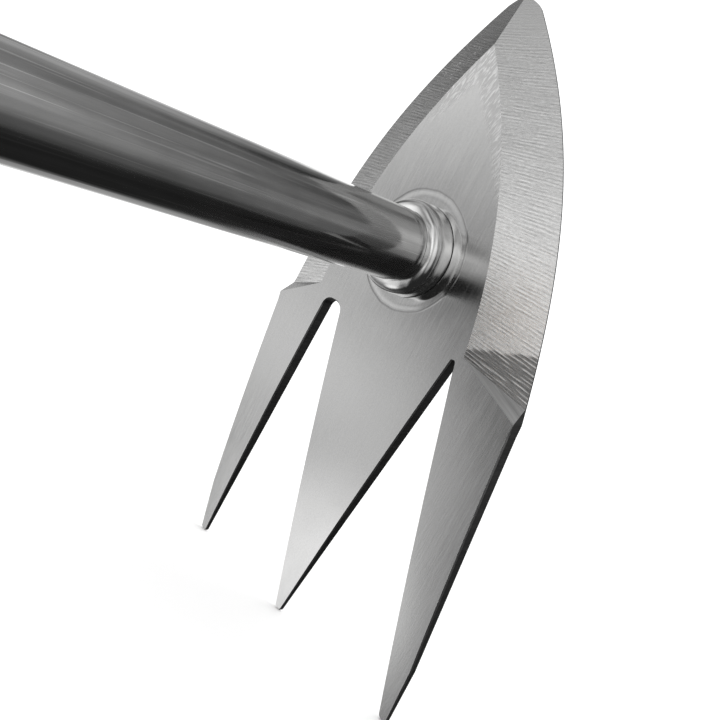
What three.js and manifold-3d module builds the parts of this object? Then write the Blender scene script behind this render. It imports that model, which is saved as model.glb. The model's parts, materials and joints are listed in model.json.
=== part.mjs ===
// Two-way hand cultivator. One steel plate carries a ground, pointed blade at one end and three
// tapering tines at the other. A polished tubular socket is welded square onto the plate's face,
// and a turned wooden handle is held in the socket by two screws.
//
// Millimetres, +Z up. The tool lies at rest on its tine tips and the butt of its handle.
// Each piece is drawn in the head's own frame: x across the plate, y from the tines towards the
// blade's point, z out of the ground face along the socket. Its y = 0 is the line where the blade
// ends and the tines begin, and its z = 0 is the plate's front face.

import * as THREE from 'three';
import { mergeVertices } from 'three/addons/utils/BufferGeometryUtils.js';
import Module from 'manifold-3d';

// ---------------------------------------------------------------- driving dimensions

const PLATE = {
  thickness: 5,
  bladeLength: 112, // root line to where the two blade edges would meet
  tineLength: 120.5, // root line to the tine tips
  shoulderHalfWidth: 58,
  shoulderDrop: 15.6, // the shoulders stand this far below the root line
  shoulderRadius: 8,
};

const EDGE = {
  shoulderAngle: 9, // degrees, how the blade's outline leaves the shoulder
  pointAngle: 41.6, // degrees, half the angle between the two edges at the point
  shoulderReach: 56, // how long the outline follows each of those directions
  pointReach: 53,
  pointRounding: 0.075, // share of each edge lost to the rounded point
  pointCrown: 0.9, // how far the rounding reaches up, in half widths of the rounded part
};

const BEVEL = {
  shoulderWidth: 22.3, // ground width across the plate at the shoulder
  ridgeLength: 22, // from the blade's point back to where the two bevels meet
  ridgeOffset: -2.4, // the bevels meet a little to one side of the middle
  shoulderAngle: 4.2,
  pointAngle: 35.8,
  shoulderReach: 39,
  pointReach: 30,
  land: 0.5, // blunt thickness left at the edge
  endDrop: 5, // the bevel's inner corner stands this far below the root line
  runOut: 4.6, // length over which the grinding wheel lifts out at the shoulder
};

const TINE = {
  tipThickness: 1.5,
  taperStart: 12, // below the root line
  outerTipHalfSpan: 57, // middle of the plate to the outer tines' outer corners
  outerBulge: 1.6, // the outer edges swell by this much before they reach the tips
  bulgePlace: 100, // where they swell, below the root line
  outerTipWidth: 3.5,
  centreTipWidth: 3.2,
  centreTipOffset: -1.9,
  tipRadius: 1.4,
};

const SLOT = {
  leftMiddle: -28.6, // this slot ends in a round root
  leftWidth: 8.3,
  leftRadius: 3.9,
  leftDrop: 8.5,
  rightMiddle: 30, // this one ends in a sharp V
  rightWidth: 1.2,
  rightRadius: 0.4,
  rightDrop: 7.5,
};

const SOCKET = {
  offset: -1.8, // beside the middle of the plate
  height: 19.4, // above the root line
  radius: 12.1,
  wall: 1.5,
  length: 160, // plate to mouth
  noseRadius: 6.4, // flat end of the rounded nose
  noseHeight: 11, // over which the nose rounds off
  noseWall: 3,
  lipRadius: 1.3, // rolled mouth
};

const WELD = {
  footRadius: 17.4,
  bulge: 1.2,
  topBulge: 0.4, // share of that bulge that shows on top
  height: 7.6,
};

const HANDLE = {
  reach: 400, // plate to butt
  tenonLength: 100,
  neckRadius: 13.6,
  neckLength: 8,
  gripRadius: 16.4,
  gripPlace: 0.42, // share of the way from the socket to the butt
  waistRadius: 13.8,
  waistPlace: 0.82,
  buttRadius: 17,
  buttRounding: 5,
  tenonChamfer: 2,
};

const SCREW = {
  fromMouth: 16,
  headRadius: 3.6,
  headHeight: 2.1,
  shankRadius: 1.7,
  length: 9, // depth of its hole
  tipClearance: 1.3,
  pointLength: 2.5,
};

const GAP = 0.3; // clearance between pieces that touch
const ROUND_SIDES = 40; // facets round the tube and the handle
const SMALL_SIDES = 16; // facets round a screw
const GRIP_STEPS = 16; // rows along the handle's grip
const ARC_STEPS = 8; // steps round a nose, a lip, a butt or a screw's head
const EDGE_STEPS = 30; // steps along each blade edge
const BEVEL_STEPS = 23; // steps along each bevel, out of step with the edge's
const TAPER_STEPS = 14; // steps along the tines' thinning

// ---------------------------------------------------------------- solids

const wasm = await Module();
wasm.setup();

/** A closed geometry as a solid that can be joined and cut. */
function solid(geometry) {
  const plain = geometry.clone();
  plain.deleteAttribute('normal');
  plain.deleteAttribute('uv');
  const merged = mergeVertices(plain, 1e-4);
  const mesh = new wasm.Mesh({
    numProp: 3,
    vertProperties: new Float32Array(merged.attributes.position.array),
    triVerts: new Uint32Array(merged.index.array),
  });
  return new wasm.Manifold(mesh);
}

/** A solid back as geometry. */
function geometryOf(body) {
  const mesh = body.getMesh();
  const geometry = new THREE.BufferGeometry();
  geometry.setAttribute('position', new THREE.BufferAttribute(mesh.vertProperties, 3));
  geometry.setIndex(new THREE.BufferAttribute(mesh.triVerts, 1));
  geometry.computeVertexNormals();
  return geometry;
}

/** A closed solid skinned over a row of equal-sided sections, capped at both ends. */
function loft(sections) {
  const sides = sections[0].length;
  const positions = sections.flat().flatMap((point) => [point.x, point.y, point.z]);
  const indices = [];
  for (let row = 0; row < sections.length - 1; row += 1) {
    for (let side = 0; side < sides; side += 1) {
      const here = row * sides + side;
      const beside = row * sides + ((side + 1) % sides);
      indices.push(here, here + sides, beside);
      indices.push(beside, here + sides, beside + sides);
    }
  }
  const last = (sections.length - 1) * sides;
  for (let side = 1; side < sides - 1; side += 1) {
    indices.push(0, side, side + 1);
    indices.push(last, last + side + 1, last + side);
  }
  const geometry = new THREE.BufferGeometry();
  geometry.setAttribute('position', new THREE.Float32BufferAttribute(positions, 3));
  geometry.setIndex(indices);
  return geometry;
}

/** A profile of [radius, height] pairs turned about the z axis. */
function turned(profile, sides) {
  const points = profile.map(([radius, height]) => new THREE.Vector2(radius, height));
  const geometry = new THREE.LatheGeometry(points, sides);
  geometry.rotateX(Math.PI / 2);
  return geometry;
}

/** A quarter ellipse of [radius, height] pairs between two points, leaving upright from the second. */
function quarterRound(from, to, steps) {
  const points = [];
  for (let step = 0; step <= steps; step += 1) {
    const angle = (step / steps) * (Math.PI / 2);
    const radius = from[0] + (to[0] - from[0]) * Math.sin(angle);
    const height = from[1] + (to[1] - from[1]) * (1 - Math.cos(angle));
    points.push([radius, height]);
  }
  return points;
}

/** A straight-sided outline of {x, y, radius} corners, each rounded unless its radius is 0. */
function addRoundedCorners(shape, corners) {
  for (let index = 1; index < corners.length - 1; index += 1) {
    const corner = new THREE.Vector2(corners[index].x, corners[index].y);
    const radius = corners[index].radius;
    if (radius === 0) {
      shape.lineTo(corner.x, corner.y);
      continue;
    }
    const before = new THREE.Vector2(corners[index - 1].x, corners[index - 1].y).sub(corner);
    const after = new THREE.Vector2(corners[index + 1].x, corners[index + 1].y).sub(corner);
    before.normalize();
    after.normalize();
    const halfAngle = Math.acos(THREE.MathUtils.clamp(before.dot(after), -1, 1)) / 2;
    const start = corner.clone().addScaledVector(before, radius / Math.tan(halfAngle));
    const middle = before.clone().add(after).normalize();
    const centre = corner.clone().addScaledVector(middle, radius / Math.sin(halfAngle));
    const end = corner.clone().addScaledVector(after, radius / Math.tan(halfAngle));
    const from = Math.atan2(start.y - centre.y, start.x - centre.x);
    const to = Math.atan2(end.y - centre.y, end.x - centre.x);
    const clockwise = before.cross(after) > 0;
    shape.absarc(centre.x, centre.y, radius, from, to, clockwise);
  }
}

// ---------------------------------------------------------------- head plate

/** A curve from a point near the shoulder to a point on the middle line, on the +x side. */
function sideCurve(start, end, sizes) {
  const leave = THREE.MathUtils.degToRad(sizes.shoulderAngle);
  const arrive = THREE.MathUtils.degToRad(sizes.pointAngle);
  return new THREE.CubicBezierCurve(
    start,
    new THREE.Vector2(-Math.sin(leave), Math.cos(leave)).multiplyScalar(sizes.shoulderReach).add(start),
    new THREE.Vector2(Math.sin(arrive), -Math.cos(arrive)).multiplyScalar(sizes.pointReach).add(end),
    end,
  );
}

const shoulder = new THREE.Vector2(PLATE.shoulderHalfWidth, -PLATE.shoulderDrop);
const bladePoint = new THREE.Vector2(0, PLATE.bladeLength);
const edgeCurve = sideCurve(shoulder, bladePoint, EDGE);

const bevelCorner = new THREE.Vector2(PLATE.shoulderHalfWidth - BEVEL.shoulderWidth, -BEVEL.endDrop);
const ridgeFoot = new THREE.Vector2(0, PLATE.bladeLength - BEVEL.ridgeLength);
const bevelCurve = sideCurve(bevelCorner, ridgeFoot, BEVEL);

/** The plate's whole outline: blade edges, shoulders, three tines and two slots. */
function plateOutline() {
  const lastStep = Math.round(EDGE_STEPS * (1 - EDGE.pointRounding));
  const edge = edgeCurve.getPoints(EDGE_STEPS).slice(0, lastStep + 1);
  const tipY = -PLATE.tineLength;
  const shoulderY = -PLATE.shoulderDrop;
  const span = TINE.outerTipHalfSpan;
  const swell = span + TINE.outerBulge;
  const centreLeft = TINE.centreTipOffset - TINE.centreTipWidth / 2;
  const centreRight = TINE.centreTipOffset + TINE.centreTipWidth / 2;
  const corners = [
    { x: edge[1].x, y: edge[1].y },
    { x: PLATE.shoulderHalfWidth, y: shoulderY, radius: PLATE.shoulderRadius },
    { x: swell, y: -TINE.bulgePlace, radius: 0 },
    { x: span, y: tipY, radius: TINE.tipRadius },
    { x: span - TINE.outerTipWidth, y: tipY, radius: TINE.tipRadius },
    { x: SLOT.rightMiddle + SLOT.rightWidth / 2, y: -SLOT.rightDrop, radius: SLOT.rightRadius },
    { x: SLOT.rightMiddle - SLOT.rightWidth / 2, y: -SLOT.rightDrop, radius: SLOT.rightRadius },
    { x: centreRight, y: tipY, radius: TINE.tipRadius },
    { x: centreLeft, y: tipY, radius: TINE.tipRadius },
    { x: SLOT.leftMiddle + SLOT.leftWidth / 2, y: -SLOT.leftDrop, radius: SLOT.leftRadius },
    { x: SLOT.leftMiddle - SLOT.leftWidth / 2, y: -SLOT.leftDrop, radius: SLOT.leftRadius },
    { x: TINE.outerTipWidth - span, y: tipY, radius: TINE.tipRadius },
    { x: -span, y: tipY, radius: TINE.tipRadius },
    { x: -swell, y: -TINE.bulgePlace, radius: 0 },
    { x: -PLATE.shoulderHalfWidth, y: shoulderY, radius: PLATE.shoulderRadius },
    { x: -edge[1].x, y: edge[1].y },
  ];
  const shape = new THREE.Shape();
  shape.moveTo(edge[1].x, edge[1].y);
  addRoundedCorners(shape, corners);
  edge.slice(1).forEach((point) => shape.lineTo(-point.x, point.y));
  const last = edge[edge.length - 1];
  const crown = new THREE.Vector2(0, last.y + last.x * EDGE.pointCrown);
  shape.quadraticCurveTo(crown.x, crown.y, last.x, last.y);
  edge.slice(2, -1).reverse().forEach((point) => shape.lineTo(point.x, point.y));
  return shape;
}

/** Seen from the side: flat back, and a front face that falls away to the thin tine tips. */
function plateSideView() {
  const clear = 0.1; // keeps the view's own faces off the plate's
  const top = PLATE.bladeLength + clear;
  const back = -PLATE.thickness;
  const tip = -PLATE.tineLength;
  const bend = -(TINE.taperStart + PLATE.tineLength) / 2;
  const view = new THREE.Shape();
  view.moveTo(top, back - clear);
  view.lineTo(top, clear);
  view.lineTo(-TINE.taperStart, clear);
  view.quadraticCurveTo(bend, clear, tip, back + TINE.tipThickness);
  view.lineTo(tip - clear, back + TINE.tipThickness);
  view.lineTo(tip - clear, back - clear);
  view.closePath();
  return view;
}

/** The material that grinding takes off: round the whole blade, lifting out at each shoulder. */
function bevelCut() {
  const top = 2; // clears the front face
  const before = -0.05; // shares of the ground width, from clear of the front face
  const beyond = 1.6; // to well past the plate's edge
  const depth = PLATE.thickness - BEVEL.land;
  const section = (step, side, isEnd) => {
    const lift = isEnd ? BEVEL.runOut : 0;
    const inner = bevelCurve.getPoint(step);
    const outer = edgeCurve.getPoint(step);
    inner.set(side * inner.x + BEVEL.ridgeOffset, inner.y);
    outer.set(side * outer.x, outer.y);
    const at = (share, height) => {
      const place = outer.clone().sub(inner).multiplyScalar(share).add(inner);
      return new THREE.Vector3(place.x, place.y - (lift * height) / depth, height);
    };
    return [
      at(before, top),
      at(before, -depth * before),
      at(beyond, -depth * beyond),
      at(beyond, top),
    ];
  };
  const sections = [];
  for (let step = 0; step <= BEVEL_STEPS; step += 1) {
    sections.push(section(step / BEVEL_STEPS, 1, step === 0));
  }
  for (let step = BEVEL_STEPS - 1; step >= 0; step -= 1) {
    sections.push(section(step / BEVEL_STEPS, -1, step === 0));
  }
  return loft(sections);
}

function headPlate() {
  const blank = new THREE.ExtrudeGeometry(plateOutline(), {
    depth: PLATE.thickness,
    bevelEnabled: false,
    curveSegments: ARC_STEPS,
  });
  blank.translate(0, 0, -PLATE.thickness);
  const width = 2 * (PLATE.shoulderHalfWidth + TINE.outerTipHalfSpan);
  const side = new THREE.ExtrudeGeometry(plateSideView(), {
    depth: width,
    bevelEnabled: false,
    curveSegments: TAPER_STEPS,
  });
  // The side view is drawn as (y, z) and extruded across the plate.
  side.applyMatrix4(new THREE.Matrix4().makeBasis(
    new THREE.Vector3(0, 1, 0),
    new THREE.Vector3(0, 0, 1),
    new THREE.Vector3(1, 0, 0),
  ));
  side.translate(-width / 2, 0, 0);
  return geometryOf(solid(blank).intersect(solid(side)).subtract(solid(bevelCut())));
}

// ---------------------------------------------------------------- socket and weld

const innerRadius = SOCKET.radius - SOCKET.wall;

/** Outside of the rounded nose, from its flat end up to the full tube. */
function noseProfile(grow) {
  const foot = [SOCKET.noseRadius + grow, GAP];
  const top = [SOCKET.radius + grow, SOCKET.noseHeight];
  return quarterRound(foot, top, ARC_STEPS);
}

function socketTube() {
  const floor = SOCKET.noseHeight + SOCKET.noseWall;
  const lip = [];
  const lipMiddle = SOCKET.length - SOCKET.lipRadius;
  for (let step = 0; step <= ARC_STEPS; step += 1) {
    const angle = -Math.PI / 2 + (step / ARC_STEPS) * Math.PI;
    const radius = SOCKET.radius + SOCKET.lipRadius * Math.cos(angle);
    lip.push([radius, lipMiddle + SOCKET.lipRadius * Math.sin(angle)]);
  }
  const profile = [
    [0, GAP],
    ...noseProfile(0),
    ...lip,
    [innerRadius, SOCKET.length],
    [innerRadius, floor],
    [0, floor],
  ];
  let tube = solid(turned(profile, ROUND_SIDES));
  for (const side of [1, -1]) {
    tube = tube.subtract(solid(screwHole(side, SCREW.shankRadius + GAP)));
  }
  return geometryOf(tube);
}

/** A fat polished bead that fills the corner between the nose and the plate. */
function weldBead() {
  const inner = noseProfile(GAP).filter(([, height]) => height < WELD.height);
  const topRadius = inner[inner.length - 1][0];
  const outer = [];
  for (let step = 0; step <= ARC_STEPS; step += 1) {
    const angle = (step / ARC_STEPS) * (Math.PI / 2);
    const swell = WELD.bulge * Math.sin(2 * angle);
    const radius = topRadius + (WELD.footRadius - WELD.bulge - topRadius) * Math.sin(angle) + swell;
    outer.push([radius, GAP + (WELD.height - GAP) * Math.cos(angle) + swell * WELD.topBulge]);
  }
  const profile = [inner[0], ...outer.reverse(), ...inner.reverse()];
  return turned(profile, ROUND_SIDES);
}

// ---------------------------------------------------------------- handle and screws

const screwHeight = SOCKET.length - SCREW.fromMouth;

/** A round bar across the socket's wall, where a screw goes in from one side. */
function screwHole(side, radius) {
  const length = SCREW.length + GAP;
  const bar = new THREE.CylinderGeometry(radius, radius, length, SMALL_SIDES);
  bar.rotateZ(Math.PI / 2);
  bar.translate(side * (SOCKET.radius + GAP - length / 2 + GAP), 0, screwHeight);
  return bar;
}

function handle() {
  const tenon = innerRadius - GAP;
  const start = SOCKET.length - HANDLE.tenonLength;
  const seat = SOCKET.length + GAP;
  const end = HANDLE.reach;
  const grip = new THREE.SplineCurve([
    new THREE.Vector2(HANDLE.neckRadius, seat + HANDLE.neckLength),
    new THREE.Vector2(HANDLE.gripRadius, seat + (end - seat) * HANDLE.gripPlace),
    new THREE.Vector2(HANDLE.waistRadius, seat + (end - seat) * HANDLE.waistPlace),
    new THREE.Vector2(HANDLE.buttRadius, end - HANDLE.buttRounding),
  ]);
  const butt = [];
  for (let step = 1; step <= ARC_STEPS; step += 1) {
    const angle = (step / ARC_STEPS) * (Math.PI / 2);
    const inset = HANDLE.buttRounding * (1 - Math.cos(angle));
    butt.push([HANDLE.buttRadius - inset, end - HANDLE.buttRounding * (1 - Math.sin(angle))]);
  }
  const profile = [
    [0, start],
    [tenon - HANDLE.tenonChamfer, start],
    [tenon, start + HANDLE.tenonChamfer],
    [tenon, seat],
    [HANDLE.neckRadius, seat],
    ...grip.getPoints(GRIP_STEPS).map((point) => [point.x, point.y]),
    ...butt,
    [0, end],
  ];
  let wood = solid(turned(profile, ROUND_SIDES));
  for (const side of [1, -1]) {
    wood = wood.subtract(solid(screwHole(side, SCREW.shankRadius + GAP)));
  }
  return geometryOf(wood);
}

/** A round-headed screw, its head resting on the socket's wall. Drawn along its own z axis. */
function screw() {
  const dome = [];
  for (let step = 0; step <= ARC_STEPS; step += 1) {
    const angle = (step / ARC_STEPS) * (Math.PI / 2);
    dome.push([SCREW.headRadius * Math.cos(angle), SCREW.headHeight * Math.sin(angle)]);
  }
  dome[dome.length - 1][0] = 0;
  const shank = SCREW.length - SCREW.tipClearance;
  const profile = [
    [0, -shank],
    [SCREW.shankRadius, SCREW.pointLength - shank],
    [SCREW.shankRadius, 0],
    ...dome,
  ];
  return turned(profile, SMALL_SIDES);
}

// ---------------------------------------------------------------- the assembly

const FINISH = {
  ground: { color: 0xb9b9b7, roughness: 0.34, metalness: 1 },
  polished: { color: 0xc4c4c2, roughness: 0.12, metalness: 1 },
  wood: { color: 0xb98a57, roughness: 0.55, metalness: 0 },
  zinc: { color: 0xa9abad, roughness: 0.3, metalness: 1 },
};

function piece(name, geometry, finish) {
  const mesh = new THREE.Mesh(geometry, new THREE.MeshStandardMaterial(finish));
  mesh.name = name;
  return mesh;
}

/** How far the head leans towards the handle when tine tips and butt both touch the ground. */
function leanAngle() {
  const tipFront = -(PLATE.thickness - TINE.tipThickness);
  const buttDrop = HANDLE.buttRadius - HANDLE.buttRounding;
  const rise = PLATE.tineLength + SOCKET.height - buttDrop;
  const run = HANDLE.reach - HANDLE.buttRounding - tipFront;
  return Math.acos(HANDLE.buttRounding / Math.hypot(rise, run)) - Math.atan2(run, rise);
}

const onSocketAxis = new THREE.Group();
onSocketAxis.position.set(SOCKET.offset, SOCKET.height, 0);
onSocketAxis.add(piece('socket_tube', socketTube(), FINISH.polished));
onSocketAxis.add(piece('weld_bead', weldBead(), FINISH.polished));
onSocketAxis.add(piece('handle', handle(), FINISH.wood));
for (const [name, side] of [['fixing_screw_right', 1], ['fixing_screw_left', -1]]) {
  const fastener = piece(name, screw(), FINISH.zinc);
  fastener.position.set(side * (SOCKET.radius + GAP), 0, screwHeight);
  fastener.rotation.y = side * (Math.PI / 2);
  onSocketAxis.add(fastener);
}

const head = new THREE.Group();
head.add(piece('head_plate', headPlate(), FINISH.ground));
head.add(onSocketAxis);
head.rotation.x = Math.PI / 2 + leanAngle();

const handCultivator = new THREE.Group();
handCultivator.add(head);
handCultivator.updateMatrixWorld(true);
const bounds = new THREE.Box3().setFromObject(handCultivator, true);
const middle = bounds.getCenter(new THREE.Vector3());
head.position.set(-middle.x, -middle.y, -bounds.min.z);
handCultivator.updateMatrixWorld(true);

export default handCultivator;
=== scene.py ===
"""Looks of a two-way hand cultivator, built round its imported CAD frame.

Every piece is drawn in the head's own frame, in millimetres: x across the plate, y from the tines
towards the blade's point, z out of the ground face along the socket. One matrix, worked out from
the mount on the plate's back, puts that frame into the row frame.
"""

import json
import logging
import math
from dataclasses import dataclass, field
from enum import Enum

import bmesh
import bpy
import numpy as np
from mathutils import Matrix, Vector, geometry, noise

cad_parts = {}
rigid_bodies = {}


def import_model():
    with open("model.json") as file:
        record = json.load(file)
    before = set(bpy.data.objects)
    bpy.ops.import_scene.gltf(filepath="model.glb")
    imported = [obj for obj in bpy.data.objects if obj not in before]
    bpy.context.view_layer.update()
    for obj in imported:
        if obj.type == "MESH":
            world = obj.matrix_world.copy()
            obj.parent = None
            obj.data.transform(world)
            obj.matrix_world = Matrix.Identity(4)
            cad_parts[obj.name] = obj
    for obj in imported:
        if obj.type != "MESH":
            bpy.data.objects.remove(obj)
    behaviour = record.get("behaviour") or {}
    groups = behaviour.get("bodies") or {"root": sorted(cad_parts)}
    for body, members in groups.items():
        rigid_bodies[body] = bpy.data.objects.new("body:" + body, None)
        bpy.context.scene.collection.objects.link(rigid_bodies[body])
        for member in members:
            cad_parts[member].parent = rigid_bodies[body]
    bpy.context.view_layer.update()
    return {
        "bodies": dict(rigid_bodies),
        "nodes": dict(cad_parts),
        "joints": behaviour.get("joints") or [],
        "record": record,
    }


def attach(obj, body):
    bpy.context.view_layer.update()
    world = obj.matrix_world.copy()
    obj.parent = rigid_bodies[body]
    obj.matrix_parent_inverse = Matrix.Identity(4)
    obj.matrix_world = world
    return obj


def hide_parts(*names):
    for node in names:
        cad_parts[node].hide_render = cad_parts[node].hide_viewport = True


log = logging.getLogger("cultivator")
logging.basicConfig(level=logging.INFO, format="%(name)s: %(message)s")

MM = 0.001
PAINTED_SHEEN = "finish_tone"  # number on a mesh's points: painted sheen, a factor that lightens the tines towards their tips
GLITTER = "finish_glitter"  # number on a mesh's points: how nicked the face is there
LONG_LINE = 2.7  # how much longer the second layer of working lines is
LONG_LINE_SHARE = 0.6  # and how strong it is beside the first
LAYER_STEP = (1.0, 1.7, 2.3)  # how a layer's shift moves its pattern along x, y and z
FAR_AWAY = 99.0  # further from the weld than any part of the plate, in millimetres
WHITE = (1.0, 1.0, 1.0, 1.0)
TINY = 1e-12  # keeps a division from failing where two lines are parallel
SocketValue = object  # a Shade, a node socket, a number or a tuple of numbers


class Side(Enum):
    """The two sides of the plate, by the sign of x."""

    RIGHT = 1
    LEFT = -1


class Zone(Enum):
    """Differently finished surfaces of the head plate, by material slot."""

    FACE = 0
    BEVEL_RIGHT = 1
    BEVEL_LEFT = 2
    RUN_OUT = 3
    WALL = 4
    CHAMFER = 5


@dataclass(frozen=True)
class Grain:
    """One layer of noise.

    Args:
        size: How big a grain is along x, y and z, in millimetres.
        detail: Octaves of finer noise.
        shift: Moves the pattern, so that two layers differ.
    """

    size: tuple[float, float, float]
    detail: float = 2.0
    shift: float = 0.0


# ---------------------------------------------------------------- shader expressions


@dataclass(frozen=True)
class Shade:
    """A number that varies over a surface: one output socket, with arithmetic.

    Args:
        graph: The node tree that the socket belongs to.
        socket: The output socket.
    """

    graph: "Graph"
    socket: bpy.types.NodeSocket

    def _math(self, operation: str, first: SocketValue, second: SocketValue) -> "Shade":
        """One Math node between two values."""
        made = self.graph.node("ShaderNodeMath", {"operation": operation}, {0: first, 1: second})
        return Shade(self.graph, made.outputs[0])

    def __add__(self, other: SocketValue) -> "Shade":
        """self + other."""
        return self._math("ADD", self, other)

    def __radd__(self, other: SocketValue) -> "Shade":
        """other + self."""
        return self._math("ADD", other, self)

    def __sub__(self, other: SocketValue) -> "Shade":
        """self - other."""
        return self._math("SUBTRACT", self, other)

    def __rsub__(self, other: SocketValue) -> "Shade":
        """other - self."""
        return self._math("SUBTRACT", other, self)

    def __mul__(self, other: SocketValue) -> "Shade":
        """self * other."""
        return self._math("MULTIPLY", self, other)

    def __rmul__(self, other: SocketValue) -> "Shade":
        """other * self."""
        return self._math("MULTIPLY", other, self)

    def at_least(self, other: SocketValue) -> "Shade":
        """The larger of the two."""
        return self._math("MAXIMUM", self, other)

    def at_most(self, other: SocketValue) -> "Shade":
        """The smaller of the two."""
        return self._math("MINIMUM", self, other)

    def size(self) -> "Shade":
        """The value without its sign."""
        return self._math("ABSOLUTE", self, 0.0)

    def wave(self) -> "Shade":
        """The sine of a number of turns."""
        return self._math("SINE", self * (2 * math.pi), 0.0)

    def zigzag(self, half_period: float) -> "Shade":
        """The value folded back and forth between 0 and half_period."""
        return self._math("PINGPONG", self, half_period)

    def rise(self, low: float, high: float) -> "Shade":
        """A soft step from 0 at low to 1 at high.

        Args:
            low: Value at which the step begins.
            high: Value at which it ends. It may be below low, and then the step falls.

        Returns:
            A mask from 0 to 1.
        """
        ends = (low, high, 0.0, 1.0) if low < high else (high, low, 1.0, 0.0)
        made = self.graph.node(
            "ShaderNodeMapRange",
            {"interpolation_type": "SMOOTHSTEP"},
            {0: self, 1: ends[0], 2: ends[1], 3: ends[2], 4: ends[3]},
        )
        return Shade(self.graph, made.outputs[0])

    def band(self, middle: float, half_width: float) -> "Shade":
        """A soft bump of height 1 round middle, gone half_width to either side."""
        return (self - middle).size().rise(half_width, 0.0)


class Graph:
    """A node tree with one way of adding a node.

    Args:
        tree: The node tree to add to.
    """

    def __init__(self, tree: bpy.types.NodeTree) -> None:
        self.tree = tree

    def node(
        self,
        kind: str,
        settings: dict[str, object] | None = None,
        sockets: dict[str | int, SocketValue] | None = None,
    ) -> bpy.types.Node:
        """Adds a node.

        Args:
            kind: The node's type name.
            settings: Its properties, set first. "stops" is a colour ramp's (place, colour) list.
            sockets: A value or a link for each input, by name or number.

        Returns:
            The node.
        """
        made = self.tree.nodes.new(kind)
        for name, value in (settings or {}).items():
            if name == "stops":
                self._set_stops(made.color_ramp, value)
            else:
                setattr(made, name, value)
        for name, value in (sockets or {}).items():
            target = made.inputs[name]
            if isinstance(value, Shade):
                value = value.socket
            if isinstance(value, bpy.types.NodeSocket):
                self.tree.links.new(value, target)
            else:
                target.default_value = value
        return made

    def _set_stops(self, ramp: bpy.types.ColorRamp, stops: list[tuple[float, tuple]]) -> None:
        """Gives a colour ramp these (place, colour) stops."""
        while len(ramp.elements) < len(stops):
            ramp.elements.new(0.5)
        for element, (place, colour) in zip(ramp.elements, stops):
            element.position = place
            element.color = (*colour, 1.0)

    def ramp(self, amount: SocketValue, stops: list[tuple[float, tuple]]) -> bpy.types.NodeSocket:
        """A colour that runs through these (place, colour) stops."""
        return self.node("ShaderNodeValToRGB", {"stops": stops}, {"Fac": amount}).outputs["Color"]

    def millimetres(self) -> bpy.types.NodeSocket:
        """The place on the piece, in the head's frame, in millimetres."""
        place = self.node("ShaderNodeTexCoord").outputs["Object"]
        scaled = self.node("ShaderNodeVectorMath", {"operation": "SCALE"}, {0: place, "Scale": 1 / MM})
        return scaled.outputs[0]

    def turned(self, place: bpy.types.NodeSocket, degrees: float) -> bpy.types.NodeSocket:
        """A place turned about the z axis, so that a line at that angle lies along x."""
        made = self.node(
            "ShaderNodeVectorRotate",
            {"rotation_type": "Z_AXIS"},
            {"Vector": place, "Angle": -math.radians(degrees)},
        )
        return made.outputs[0]

    def grain(self, place: bpy.types.NodeSocket, layer: Grain) -> Shade:
        """A layer of noise about 0.

        Args:
            place: Where on the piece, in millimetres.
            layer: What the noise is like.

        Returns:
            A number from about -0.5 to 0.5.
        """
        scale = tuple(1 / length for length in layer.size)
        shift = tuple(factor * layer.shift for factor in LAYER_STEP)
        sized = self.node("ShaderNodeVectorMath", {"operation": "MULTIPLY"}, {0: place, 1: scale})
        moved = self.node("ShaderNodeVectorMath", {"operation": "ADD"}, {0: sized.outputs[0], 1: shift})
        sockets = {"Vector": moved.outputs[0], "Scale": 1.0, "Detail": layer.detail}
        return Shade(self, self.node("ShaderNodeTexNoise", None, sockets).outputs[0]) - 0.5

    def parts(self, place: bpy.types.NodeSocket) -> tuple[Shade, Shade, Shade]:
        """The x, y and z of a place."""
        made = self.node("ShaderNodeSeparateXYZ", None, {0: place})
        return tuple(Shade(self, socket) for socket in made.outputs)

    def distance(self, place: bpy.types.NodeSocket, centre: tuple[float, float]) -> Shade:
        """How far a place is from an upright axis through centre."""
        flat = self.node(
            "ShaderNodeVectorMath",
            {"operation": "MULTIPLY"},
            {0: place, 1: (1.0, 1.0, 0.0)},
        ).outputs[0]
        made = self.node("ShaderNodeVectorMath", {"operation": "DISTANCE"}, {0: flat, 1: (*centre, 0.0)})
        return Shade(self, made.outputs["Value"])

    def joined(self, x: SocketValue, y: SocketValue, z: SocketValue) -> bpy.types.NodeSocket:
        """A place made of three numbers."""
        return self.node("ShaderNodeCombineXYZ", None, {0: x, 1: y, 2: z}).outputs[0]

    def field(self, name: str) -> Shade:
        """A number that the mesh holds at each of its points."""
        return Shade(self, self.node("ShaderNodeAttribute", {"attribute_name": name}).outputs["Fac"])

    def grey(self, value: SocketValue, tint: tuple[float, float, float]) -> bpy.types.NodeSocket:
        """A colour of this lightness and tint."""
        made = self.node(
            "ShaderNodeMix",
            {"data_type": "RGBA", "clamp_factor": True},
            {0: value, 6: (0.0, 0.0, 0.0, 1.0), 7: (*tint, 1.0)},
        )
        return made.outputs[2]

    def finish(self, sockets: dict[str, SocketValue], relief: SocketValue) -> None:
        """Ends a material's tree.

        Args:
            sockets: The shader's values and links, by name.
            relief: Height of the surface, in millimetres.
        """
        bump = self.node("ShaderNodeBump", None, {"Strength": 1.0, "Distance": MM, "Height": relief})
        sockets = {**sockets, "Normal": bump.outputs[0]}
        shader = self.node("ShaderNodeBsdfPrincipled", None, sockets)
        self.node("ShaderNodeOutputMaterial", None, {"Surface": shader.outputs[0]})


def new_material(name: str) -> tuple[Graph, bpy.types.Material]:
    """An empty material and its node tree."""
    made = bpy.data.materials.new(name)
    made.use_nodes = True
    made.node_tree.nodes.clear()
    return Graph(made.node_tree), made


# ---------------------------------------------------------------- finishes


@dataclass(frozen=True)
class Effect:
    """What a mask adds to a surface.

    Args:
        tone: To the lightness of the colour.
        roughness: To the roughness.
        relief: To the height, in millimetres.
    """

    tone: float = 0.0
    roughness: float = 0.0
    relief: float = 0.0


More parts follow.
